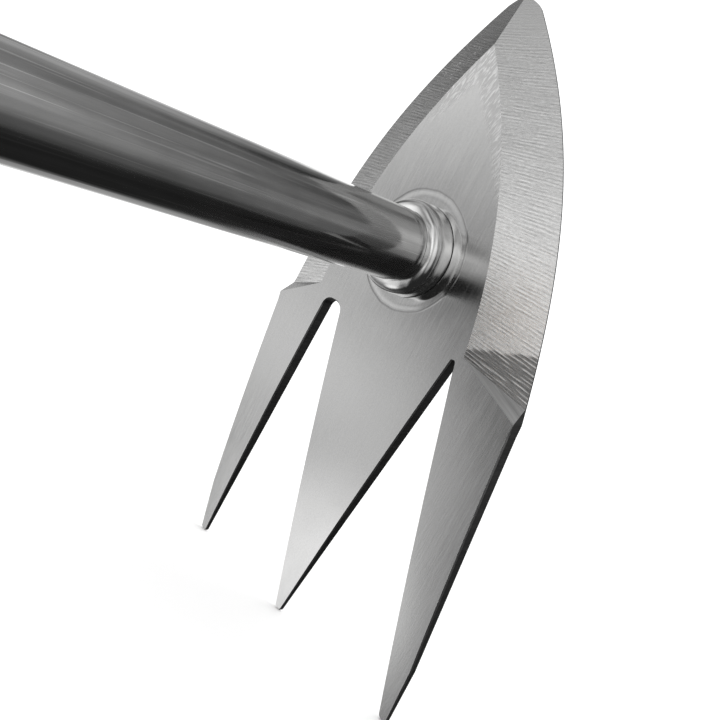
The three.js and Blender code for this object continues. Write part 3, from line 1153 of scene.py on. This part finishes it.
    def _filled(self, loop: np.ndarray, spacing: float) -> tuple[np.ndarray, list[tuple[int, ...]]]:
        """Triangles that fill a closed outline.

        Args:
            loop: The outline's points, in order.
            spacing: Distance between the points added inside it.

        Returns:
            The points and the triangles over them.
        """
        low, high = loop.min(axis=0), loop.max(axis=0)
        xs = np.arange(low[0], high[0], spacing)
        ys = np.arange(low[1], high[1], spacing * self.row_step)
        grid = np.array([(x + (row % 2) * spacing / 2, y) for row, y in enumerate(ys) for x in xs])
        start, end = loop, np.roll(loop, -1, axis=0)
        crosses = (start[:, 1] > grid[:, 1:]) != (end[:, 1] > grid[:, 1:])
        rise = end[:, 1] - start[:, 1]
        rise = np.where(np.abs(rise) < TINY, TINY, rise)
        at = start[:, 0] + (grid[:, 1:] - start[:, 1]) * (end[:, 0] - start[:, 0]) / rise
        inside = (crosses & (grid[:, :1] < at)).sum(axis=1) % 2 == 1
        grid = grid[inside]
        near = np.array([np.min(np.hypot(*(loop - point).T)) for point in grid])
        grid = grid[near > spacing * self.clearance]
        points = np.vstack([loop, grid])
        edges = [(index, (index + 1) % len(loop)) for index in range(len(loop))]
        found = geometry.delaunay_2d_cdt([Vector(point) for point in points], edges, [], 1, 1e-6)
        return np.array([tuple(point) for point in found[0]]), [tuple(face) for face in found[2]]

    def mesh(self) -> bpy.types.Mesh:
        """The whole plate as one closed mesh with a zone for each finish."""
        sheets = Sheets()
        bevels = {side: self.bevel(side) for side in Side}
        facets = {side: self.facet(side, bevels[side]) for side in Side}
        sheets.grid(bevels[Side.RIGHT], Zone.BEVEL_RIGHT.value)
        sheets.grid(bevels[Side.LEFT], Zone.BEVEL_LEFT.value)
        for side in Side:
            sheets.grid(facets[side], Zone.RUN_OUT.value)

        outline = self.tine_outline()
        from_ends = np.minimum(np.arange(len(outline)), np.arange(len(outline))[::-1])
        chamfer = self.chamfer * np.clip(from_ends / 2.0, 0.0, 1.0)
        front = self._inset(outline, chamfer)
        back = self._inset(outline, chamfer * self.back_chamfer)
        front_z = self.front_height(front[:, 1])
        top = np.column_stack([front, front_z])
        shoulder = np.column_stack([outline, self.front_height(outline[:, 1]) - chamfer])
        sheets.grid(np.array([top, shoulder]), Zone.CHAMFER.value)

        blade = np.vstack(
            [
                facets[Side.LEFT][:, -1],
                bevels[Side.LEFT][1:, -1],
                bevels[Side.RIGHT][::-1, -1][1:],
                facets[Side.RIGHT][::-1, -1][1:],
            ]
        )
        ring = np.vstack([shoulder, blade[1:-1]])
        low = ring.copy()
        low[:, 2] = -self.thickness
        low[: len(outline), 2] += chamfer * self.back_chamfer
        walls = ring + (low - ring) * np.linspace(0.0, 1.0, 4)[:, None, None]
        sheets.grid(walls, Zone.WALL.value, closed=True)
        under = low.copy()
        under[:, 2] = -self.thickness
        under[: len(outline), :2] = back
        sheets.grid(np.array([low, under]), Zone.CHAMFER.value, closed=True)
        flat, faces = self._filled(under[:, :2], self.back_spacing)
        sheets.add(np.column_stack([flat, np.full(len(flat), -self.thickness)]), faces, Zone.FACE.value)

        face_loop = np.vstack(
            [
                front,
                facets[Side.LEFT][0, ::-1, :2][1:],
                bevels[Side.LEFT][1:, 0, :2],
                bevels[Side.RIGHT][::-1, 0, :2][1:],
                facets[Side.RIGHT][0, :, :2][1:-1],
            ]
        )
        flat, faces = self._filled(face_loop, self.spacing)
        sheets.add(np.column_stack([flat, self.front_height(flat[:, 1])]), faces, Zone.FACE.value)
        made = sheets.mesh("head_plate_finished", 6.0)
        self._mark(made)
        return made

    def _mark(self, mesh: bpy.types.Mesh) -> None:
        """Writes how the finish varies over the plate, and the painted sheen on the tines, onto the
        mesh's points.

        Args:
            mesh: The plate's mesh, which gains the fields that its finishes read.
        """
        places = np.empty(len(mesh.vertices) * 3, np.float32)
        mesh.vertices.foreach_get("co", places)
        places = places.reshape(-1, 3) / MM
        at = np.linspace(0.0, 1.0, 160)
        line = self.bevel_line(at)
        both = [line * (side.value, 1) + (self.ridge_offset, 0) for side in Side]
        away = [curve[:, None] - places[None, :, :2] for curve in both]
        gaps = [np.min(np.hypot(*gap.transpose(2, 0, 1)), axis=0) for gap in away]
        width = np.interp(places[:, 1], self.nick_places, self.nick_widths)
        start, softness = self.left_nick_start
        right = np.clip((width - gaps[0]) / self.nick_edge, 0.0, 1.0)
        left = np.clip((width * self.left_nick_share - gaps[1]) / self.nick_edge, 0.0, 1.0)
        left *= np.clip((places[:, 1] - start) / softness, 0.0, 1.0)
        fields = {GLITTER: np.maximum(right, left), PAINTED_SHEEN: self._sheen_factors(places)}
        for name, values in fields.items():
            layer = mesh.attributes.new(name, "FLOAT", "POINT")
            layer.data.foreach_set("value", values.astype(np.float32))

    def _sheen_factors(self, places: np.ndarray) -> np.ndarray:
        """How much lighter each point is painted, against the finish's usual lightness.

        Args:
            places: The points, in millimetres.

        Returns:
            A factor for each point. The tines come out lighter towards their worn tips.
        """
        x, y = places[:, 0], places[:, 1]
        side, hinge, slope = self.sheen_skew
        skew = np.where(x > side, slope * (x - hinge), 0.0)
        sheen = np.clip((-y - skew - self.sheen_start) / self.sheen_run, 0.0, 1.0)
        sheen = sheen * sheen * (3 - 2 * sheen)
        return 1.0 + self.sheen_gain * sheen

    def build(self, bench: Bench, frame: HeadFrame) -> None:
        """Makes the plate and dresses each of its zones.

        Args:
            bench: Where the piece goes.
            frame: The head's frame, for the middle of the weld.
        """
        weld = (frame.socket_offset + self.weld_offset, frame.socket_height)
        belt = {"lines": Grain((16.0, 0.4, 2.0), 3.0), "line_effect": Effect(0.46, 0.1, 0.03)}
        bevel = {"tone": 0.7, "roughness": 0.27, **belt}
        finishes = {
            Zone.FACE: PlateFace(
                "satin_plate",
                tone=0.7,
                roughness=0.22,
                line_angle=83.0,
                lines=Grain((7.0, 0.3, 0.3), 3.0),
                line_effect=Effect(0.16, 0.12, 0.004),
                weld_centre=weld,
            ),
            Zone.BEVEL_RIGHT: GroundBevel("ground_bevel_right", side=Side.RIGHT, **bevel),
            Zone.BEVEL_LEFT: GroundBevel("ground_bevel_left", side=Side.LEFT, dark_share=0.0, **bevel),
            Zone.RUN_OUT: Steel("ground_run_out", 0.58, 0.34, line_angle=-24.0, **belt),
            # Painted shade: the walls' very dark tone stands in for the dark surroundings that they
            # reflect.
            Zone.WALL: Steel("cut_wall", 0.12, 0.4, lines=Grain((0.4, 0.4, 5.0), 3.0)),
            Zone.CHAMFER: Steel("broken_edge", 0.72, 0.3, lines=Grain((3.0, 0.4, 0.4), 3.0)),
        }
        materials = [finishes[zone].material() for zone in Zone]
        bench.place(self.mesh(), materials, "head_plate", "ground_steel")


# ---------------------------------------------------------------- socket and weld


@dataclass
class Socket:
    """The polished tube and the bead of weld that holds it. Sizes are in millimetres."""

    radius: float = 12.1
    wall: float = 1.5
    length: float = 160.0
    nose_radius: float = 6.4
    nose_height: float = 11.0
    nose_wall: float = 3.0
    lip_radius: float = 1.3
    gap: float = 0.3
    bead_foot: float = 17.4
    bead_bulge: float = 1.3
    top_bulge: float = 0.5  # share of the bulge that shows on top
    bead_height: float = 8.2
    seam: float = 0.05
    lip_depth: float = 0.6
    lump: tuple[float, float] = (0.75, 9.5)  # height and size of the weld's lumps
    ripple: tuple[float, float] = (0.06, 3.2)  # height and size of its ripples
    polished_off: float = 0.25
    spatter_turn: float = -112.0
    spatter_width: float = 0.5  # half of its width round the bead, in radians
    spatter_reach: float = 0.4  # how far it climbs, as a share of the bead
    spatter_height: tuple[float, float] = (0.5, 1.3)  # even height, and what its drops add
    drop_size: float = 1.9
    sides: int = 160

    def nose(self, grow: float) -> list[tuple[float, float]]:
        """The rounded nose, from its flat end up to the full tube."""
        start, end = (self.nose_radius + grow, self.gap), (self.radius + grow, self.nose_height)
        return quarter_round(start, end, 24)

    def tube_mesh(self) -> bpy.types.Mesh:
        """The tube with its nose, its rolled mouth and its hollow."""
        inner = self.radius - self.wall
        floor = self.nose_height + self.nose_wall
        middle = self.length - self.lip_radius
        lip = [
            (self.radius + self.lip_radius * math.cos(angle), middle + self.lip_radius * math.sin(angle))
            for angle in np.linspace(-math.pi / 2, math.pi / 2, 17)
        ]
        outside = subdivided([*self.nose(0.0), *lip], 3.0)
        profile = [(0.0, self.gap), *outside, (inner, self.length), (inner, floor), (0.0, floor)]
        sheets = Sheets()
        sheets.grid(lathe(profile, self.sides), closed=True)
        return sheets.mesh("socket_tube_finished", 35.0)

    def bead_mesh(self) -> bpy.types.Mesh:
        """The bead, lumpy where the weld was laid and smooth where it was polished."""
        inner = [pair for pair in self.nose(self.gap) if pair[1] < self.bead_height - self.lip_depth]
        top = next(radius for radius, height in self.nose(self.seam) if height >= self.bead_height)
        outer = []
        for angle in np.linspace(0.0, math.pi / 2, 52):
            swell = self.bead_bulge * math.sin(2 * angle) ** 2
            radius = top + (self.bead_foot - self.bead_bulge - top) * math.sin(angle) + swell
            rise = (self.bead_height - self.gap) * math.cos(angle)
            outer.append((radius, self.gap + rise + swell * self.top_bulge))
        profile = [inner[0], *outer[::-1], *inner[::-1]]
        rows = lathe(profile, self.sides * 2)
        work = rows[1 : len(outer) + 1]
        place = work.copy()
        away = place / np.linalg.norm(place, axis=2)[..., None]
        high, wide = self.lump
        low, narrow = self.ripple
        height = high * lumps(place, wide, 3.0) + low * lumps(place, narrow, 8.0)
        fade = np.sin(np.linspace(0.0, math.pi, len(outer)))[:, None] ** 0.6
        turn = np.arctan2(place[..., 1], place[..., 0]) - math.radians(self.spatter_turn)
        drips = np.clip(1.0 - np.abs(turn) / self.spatter_width, 0.0, 1.0) ** 0.7
        foot = np.clip(1.0 - np.linspace(0.0, 1.0, len(outer)) / self.spatter_reach, 0.0, 1.0)
        drops = np.clip(lumps(place, self.drop_size, 31.0), -0.4, 1.0)
        even, added = self.spatter_height
        spatter = drips * foot[:, None] * fade**0.5 * (even + added * drops)
        work += away * (height * fade - self.polished_off * fade + spatter)[..., None]
        sheets = Sheets()
        sheets.grid(np.vstack([rows, rows[:1]]), closed=True)
        return sheets.mesh("weld_bead_finished", 50.0)

    def build(self, bench: Bench, axis: Matrix) -> None:
        """Makes the tube and the bead.

        Args:
            bench: Where the pieces go.
            axis: The socket's axis in the head's frame.
        """
        polished = PolishedTube(
            "polished_tube",
            tone=0.62,
            roughness=0.1,
            line_angle=0.0,
            lines=Grain((1.5, 1.5, 70.0), 3.0),
            line_effect=Effect(0.14, 0.1, 0.012),
            cloud_size=22.0,
        )
        # Painted highlight: the bead's tone is raised above its polished steel's own, for the bright
        # light that it reflects.
        bead = Steel(
            "polished_weld",
            tone=0.88,
            roughness=0.15,
            lines=Grain((2.2, 2.2, 2.2), 3.0),
            line_effect=Effect(0.06, 0.1, 0.02),
            cloud_size=5.0,
        )
        bench.place(self.tube_mesh(), [polished.material()], "socket_tube", "polished_steel", axis)
        bench.place(self.bead_mesh(), [bead.material()], "weld_bead", "weld_steel", axis)


# ---------------------------------------------------------------- handle and screws


@dataclass
class Handle:
    """The turned wooden handle and the two screws that hold it. Sizes are in millimetres."""

    reach: float = 400.0
    tenon_length: float = 100.0
    tenon_radius: float = 10.3
    tenon_chamfer: float = 2.0
    neck: tuple[float, float] = (13.6, 8.0)
    grip: tuple[float, float] = (16.4, 0.42)
    waist: tuple[float, float] = (13.8, 0.82)
    butt_radius: float = 17.0
    butt_rounding: float = 5.0
    socket_length: float = 160.0
    socket_radius: float = 12.1
    gap: float = 0.3
    neck_marks: tuple[float, float] = (14.0, 17.5)  # turned lines, from the neck
    butt_marks: tuple[float, float] = (26.0, 22.5)  # and from the butt
    groove_depth: float = 0.45
    groove_half_width: float = 0.8
    edge_break: float = 0.6
    screw_from_mouth: float = 16.0
    head_radius: float = 3.6
    head_height: float = 2.1
    shank_radius: float = 1.7
    shank_length: float = 7.7
    shank_point: float = 2.5
    thread_pitch: float = 0.55
    thread_rise: float = 0.27
    thread_depth: float = 0.35
    thread_stop: float = 0.6
    recess: tuple[float, float, float] = (0.75, 3.9, 1.1)
    recess_taper: float = 0.55
    sides: int = 128

    def _grip_line(self) -> list[tuple[float, float]]:
        """The grip from the neck to the butt, a smooth curve through its four sizes."""
        seat, end = self.socket_length + self.gap, self.reach
        knots = np.array(
            [
                (self.neck[0], seat + self.neck[1]),
                (self.grip[0], seat + (end - seat) * self.grip[1]),
                (self.waist[0], seat + (end - seat) * self.waist[1]),
                (self.butt_radius, end - self.butt_rounding),
            ]
        )
        padded = np.vstack([knots[:1], knots, knots[-1:]])
        out = []
        for index in range(3):
            before, start, stop, after = padded[index : index + 4]
            for t in np.linspace(0.0, 1.0, 41)[: 41 if index == 2 else 40]:
                lead, trail = (stop - before) / 2, (after - start) / 2
                a, b = 2 * (start - stop) + lead + trail, 3 * (stop - start) - 2 * lead - trail
                out.append(tuple(((a * t + b) * t + lead) * t + start))
        return out

    def wood_mesh(self) -> bpy.types.Mesh:
        """The handle with its tenon, and two turned lines near each end of the grip."""
        seat, end = self.socket_length + self.gap, self.reach
        start = self.socket_length - self.tenon_length
        line = subdivided(self._grip_line(), 0.6)
        marks = [seat + mark for mark in self.neck_marks] + [end - mark for mark in self.butt_marks]
        grooved = []
        for radius, height in line:
            off = min(abs(height - mark) for mark in marks) / self.groove_half_width
            grooved.append((radius - self.groove_depth * max(0.0, 1 - off), height))
        butt = [
            (
                self.butt_radius - self.butt_rounding * (1 - math.cos(angle)),
                end - self.butt_rounding * (1 - math.sin(angle)),
            )
            for angle in np.linspace(0.0, math.pi / 2, 15)[1:]
        ]
        profile = [
            (0.0, start),
            (self.tenon_radius - self.tenon_chamfer, start),
            (self.tenon_radius, start + self.tenon_chamfer),
            (self.tenon_radius, seat),
            (self.neck[0] - self.edge_break, seat),
            (self.neck[0], seat + self.edge_break),
            *grooved,
            *butt,
            (0.0, end),
        ]
        sheets = Sheets()
        sheets.grid(lathe(profile, self.sides), closed=True)
        return sheets.mesh("handle_finished", 28.0)

    def screw_mesh(self) -> bpy.types.Mesh:
        """A round-headed screw with a cross recess, along its own z axis."""
        dome = [
            (self.head_radius * math.cos(angle), self.head_height * math.sin(angle))
            for angle in np.linspace(0.0, math.pi / 2, 17)
        ]
        thread = []
        crest, root = self.shank_radius, self.shank_radius - self.thread_depth
        first = -self.shank_length + self.shank_point
        for turn in np.arange(first, -self.thread_stop, self.thread_pitch):
            thread += [(root, turn), (crest, turn + self.thread_rise)]
        profile = [
            (0.0, -self.shank_length),
            *thread,
            (crest, -self.thread_stop / 2),
            (crest, 0.0),
            *dome[:-1],
            (0.0, self.head_height),
        ]
        sheets = Sheets()
        sheets.grid(lathe(profile, 64), closed=True)
        body = sheets.mesh("screw", 30.0)
        return self._recessed(body)

    def _recessed(self, body: bpy.types.Mesh) -> bpy.types.Mesh:
        """The screw with its cross recess cut into the head."""
        half, reach, depth = self.recess
        holder = bpy.data.objects.new("screw_blank", body)
        bpy.context.scene.collection.objects.link(holder)
        cutters = []
        for wide, deep in ((half, reach / 2), (reach / 2, half)):
            work = bmesh.new()
            bmesh.ops.create_cube(work, size=1.0)
            bottom = self.head_height - depth
            for corner in work.verts:
                taper = 1.0 if corner.co.z > 0 else self.recess_taper
                corner.co.x *= 2 * wide * taper * MM
                corner.co.y *= 2 * deep * taper * MM
                corner.co.z = (self.head_height + 1.0 if corner.co.z > 0 else bottom) * MM
            cutter_mesh = bpy.data.meshes.new("recess_cutter")
            work.to_mesh(cutter_mesh)
            work.free()
            cutter = bpy.data.objects.new("recess_cutter", cutter_mesh)
            bpy.context.scene.collection.objects.link(cutter)
            cutters.append(cutter)
            change = holder.modifiers.new("recess", "BOOLEAN")
            change.operation = "DIFFERENCE"
            change.object = cutter
        bpy.context.view_layer.update()
        evaluated = holder.evaluated_get(bpy.context.evaluated_depsgraph_get())
        made = bpy.data.meshes.new_from_object(evaluated)
        for leftover in [holder, *cutters]:
            bpy.data.objects.remove(leftover)
        made.shade_smooth()
        made.set_sharp_from_angle(angle=math.radians(30.0))
        return made

    def build(self, bench: Bench, axis: Matrix) -> None:
        """Makes the handle and both screws.

        Args:
            bench: Where the pieces go.
            axis: The socket's axis in the head's frame.
        """
        bench.place(self.wood_mesh(), [Wood().material()], "handle", "handle_wood", axis)
        lines = Grain((0.8, 0.8, 0.8), 3.0)
        bright = Steel("bright_screw", 0.6, 0.3, lines=lines, line_effect=Effect(0.1, 0.1, 0.01))
        blank = self.screw_mesh()
        height = (self.socket_length - self.screw_from_mouth) * MM
        finish = bright.material()
        for side in Side:
            move = Matrix.Translation((side.value * (self.socket_radius + self.gap) * MM, 0.0, height))
            turn = Matrix.Rotation(side.value * math.pi / 2, 4, "Y")
            node = "fixing_screw_" + side.name.lower()
            bench.place(blank.copy(), [finish], node, "screw_steel", axis @ move @ turn)


# ---------------------------------------------------------------- studio


@dataclass(frozen=True)
class SoftBox:
    """One soft light patch that bare metal reflects.

    Args:
        towards: Direction to it, in the row frame.
        spread: Half of its width, in degrees.
        strength: How bright it is.
    """

    towards: tuple[float, float, float]
    spread: float
    strength: float


@dataclass
class Studio:
    """A plain pale floor, soft light all round and the camera.

    Args:
        ambient: Brightness of the white surroundings.
        gloss_base: What bare metal reflects between the soft boxes.
        boxes: The soft boxes.
        eye: The camera's place in the head's frame, in millimetres.
        forward: Which way it looks, in the head's frame.
        down: The picture's downward direction, in the head's frame.
        lens: The lens's focal length, in millimetres.
        sensor: The sensor's width, in millimetres.
        shift: The lens's sideways and upward shift.
        clip: Nearest and furthest place that the camera sees, in metres.
        floor_radius: How far the floor reaches, in metres.
        floor_tone: Lightness of the floor.
        floor_roughness: How matt it is.
        floor_gloss: How strongly it shines.
    """

    ambient: float = 1.32
    gloss_base: float = 0.02
    boxes: list[SoftBox] = field(default_factory=list)
    eye: tuple[float, float, float] = (156.273, 26.079, 184.502)
    forward: tuple[float, float, float] = (-0.6502605, -0.1469842, -0.7453569)
    down: tuple[float, float, float] = (0.3683790, -0.9190522, -0.1401425)
    lens: float = 36.0
    sensor: float = 36.0
    shift: tuple[float, float] = (-0.02147, -0.04382)
    clip: tuple[float, float] = (0.01, 60.0)
    floor_radius: float = 14.0
    floor_tone: float = 0.97
    floor_roughness: float = 0.9
    floor_gloss: float = 0.1

    def camera(self, head: Matrix) -> None:
        """Adds the camera.

        Args:
            head: The matrix from the head's frame to the row frame.
        """
        back = -Vector(self.forward).normalized()
        up = -Vector(self.down).normalized()
        across = up.cross(back).normalized()
        turn = Matrix((across, back.cross(across), back)).transposed().to_4x4()
        data = bpy.data.cameras.new("camera")
        data.sensor_width = self.sensor
        data.lens = self.lens
        data.shift_x, data.shift_y = self.shift
        data.clip_start, data.clip_end = self.clip
        camera = bpy.data.objects.new("camera", data)
        bpy.context.scene.collection.objects.link(camera)
        camera.matrix_world = head @ Matrix.Translation(Vector(self.eye) * MM) @ turn
        bpy.context.scene.camera = camera

    def floor(self) -> None:
        """Adds the floor, which the metal doesn't mirror."""
        work = bmesh.new()
        bmesh.ops.create_circle(work, cap_ends=True, radius=self.floor_radius, segments=96)
        mesh = bpy.data.meshes.new("floor")
        work.to_mesh(mesh)
        work.free()
        made = bpy.data.materials.new("pale_floor")
        made.use_nodes = True
        shader = made.node_tree.nodes["Principled BSDF"]
        shader.inputs["Base Color"].default_value = (*(self.floor_tone,) * 3, 1.0)
        shader.inputs["Roughness"].default_value = self.floor_roughness
        shader.inputs["Specular IOR Level"].default_value = self.floor_gloss
        mesh.materials.append(made)
        floor = bpy.data.objects.new("floor", mesh)
        bpy.context.scene.collection.objects.link(floor)
        floor.visible_glossy = False

    def world(self) -> None:
        """White surroundings, with soft boxes that only reflections show."""
        world = bpy.data.worlds.new("studio")
        bpy.context.scene.world = world
        world.use_nodes = True
        world.node_tree.nodes.clear()
        graph = Graph(world.node_tree)
        direction = graph.node("ShaderNodeTexCoord").outputs["Generated"]
        glow: SocketValue = self.gloss_base
        for box in self.boxes:
            aim = {0: direction, 1: tuple(Vector(box.towards).normalized())}
            facing = graph.node("ShaderNodeVectorMath", {"operation": "DOT_PRODUCT"}, aim)
            patch = Shade(graph, facing.outputs["Value"]).rise(math.cos(math.radians(box.spread)), 1.0)
            glow = patch * box.strength + glow
        glossy = graph.node("ShaderNodeLightPath").outputs["Is Glossy Ray"]
        even, patches = (
            graph.node("ShaderNodeBackground", None, {"Color": WHITE, "Strength": strength}).outputs[0]
            for strength in (self.ambient, glow)
        )
        mixed = graph.node("ShaderNodeMixShader", None, {0: glossy, 1: even, 2: patches})
        graph.node("ShaderNodeOutputWorld", None, {"Surface": mixed.outputs[0]})

    def build(self, head: Matrix) -> None:
        """Sets the stage.

        Args:
            head: The matrix from the head's frame to the row frame.
        """
        bpy.context.scene.view_settings.view_transform = "Standard"
        self.floor()
        self.world()
        self.camera(head)


# Direction x, y, z in the row frame, spread in degrees and strength, the strongest first.
SOFT_BOX_TABLE = (
    (-0.61, 0.79, -0.04, 14, 0.89), (-0.80, 0.56, 0.20, 31, 0.69), (-0.57, -0.44, -0.69, 12, 0.64),
    (-0.96, 0.25, -0.09, 31, 0.58), (0.54, -0.83, -0.12, 31, 0.58), (-0.96, -0.15, -0.24, 12, 0.56),
    (-0.61, 0.63, 0.48, 14, 0.56), (-0.89, -0.43, -0.11, 12, 0.52), (-0.59, -0.63, -0.51, 12, 0.52),
    (-0.07, -0.98, -0.18, 12, 0.51), (-0.67, -0.74, 0.10, 12, 0.51), (-0.02, -0.95, -0.32, 12, 0.44),
    (-0.86, -0.51, -0.02, 12, 0.44), (-0.78, -0.48, -0.40, 12, 0.42), (-0.83, -0.52, 0.21, 12, 0.41),
    (-0.15, -0.95, -0.27, 12, 0.40), (-0.52, -0.85, -0.10, 12, 0.33), (0.22, -0.96, 0.16, 31, 0.33),
    (-0.20, -0.97, -0.12, 12, 0.32), (-0.21, -0.94, 0.26, 12, 0.30), (-0.73, -0.68, 0.01, 12, 0.29),
    (-0.12, -0.99, -0.03, 12, 0.28), (-0.62, -0.74, 0.27, 31, 0.26), (-0.54, -0.09, 0.84, 31, 0.26),
    (-0.33, -0.94, -0.07, 12, 0.25), (-0.54, 0.60, 0.59, 14, 0.25), (-0.74, 0.38, -0.55, 31, 0.25),
    (-0.67, -0.65, -0.37, 12, 0.24), (0.33, -0.71, 0.62, 31, 0.24), (0.03, -0.88, -0.47, 12, 0.23),
    (-0.65, 0.71, -0.27, 31, 0.23), (-0.21, 0.90, -0.39, 14, 0.23), (-0.92, -0.09, -0.38, 31, 0.23),
    (-0.69, 0.29, 0.66, 31, 0.22), (-0.33, -0.89, 0.31, 12, 0.21), (-0.47, -0.47, -0.75, 12, 0.21),
    (-0.92, -0.27, -0.29, 12, 0.21), (0.84, -0.18, 0.52, 31, 0.20), (-0.09, -0.98, 0.20, 12, 0.20),
    (0.19, 0.00, 0.98, 31, 0.19), (-0.73, -0.64, -0.23, 12, 0.19), (-0.17, -0.98, 0.11, 12, 0.19),
    (-0.22, -0.91, -0.36, 12, 0.19), (-0.65, 0.67, 0.35, 14, 0.19), (-0.48, -0.58, -0.66, 12, 0.18),
    (-0.04, 0.95, 0.30, 31, 0.18), (0.96, 0.13, 0.23, 31, 0.18), (0.67, 0.25, 0.70, 31, 0.17),
    (0.67, -0.66, 0.34, 31, 0.16), (-0.52, -0.34, -0.78, 12, 0.16), (-0.69, -0.71, -0.14, 12, 0.16),
    (0.65, 0.67, 0.35, 14, 0.15), (0.04, -0.41, 0.91, 31, 0.15), (-0.96, -0.26, 0.09, 12, 0.15),
    (-0.93, -0.34, 0.18, 12, 0.15), (-0.31, -0.60, 0.73, 31, 0.14), (-0.76, -0.56, -0.31, 12, 0.13),
    (0.50, -0.32, 0.80, 31, 0.13), (0.07, 0.52, 0.85, 14, 0.11), (-0.59, -0.54, -0.60, 12, 0.11),
    (-0.78, -0.39, -0.49, 12, 0.10), (0.88, 0.46, -0.05, 31, 0.10), (-0.72, -0.42, 0.55, 31, 0.09),
    (-0.16, -0.85, -0.50, 12, 0.08), (-0.54, 0.83, -0.16, 14, 0.07), (0.49, 0.86, 0.12, 31, 0.07),
    (-0.47, -0.85, -0.25, 12, 0.07), (0.91, -0.42, 0.05, 31, 0.06), (-0.78, -0.60, -0.20, 31, 0.06),
    (-0.09, -0.91, -0.41, 12, 0.05), (-0.54, 0.07, -0.84, 31, 0.05),
)


def main() -> None:
    """Builds the cultivator's finished pieces and the studio, and reports each one."""
    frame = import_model()
    head_frame = HeadFrame()
    head = head_frame.matrix(frame["record"])
    bench = Bench(head)
    axis = Matrix.Translation((head_frame.socket_offset * MM, head_frame.socket_height * MM, 0.0))
    HeadPlate().build(bench, head_frame)
    Socket().build(bench, axis)
    Handle().build(bench, axis)
    boxes = [SoftBox(tuple(towards), spread, strength) for *towards, spread, strength in SOFT_BOX_TABLE]
    Studio(boxes=boxes).build(head)
    bpy.context.view_layer.update()


if __name__ == "__main__":
    main()
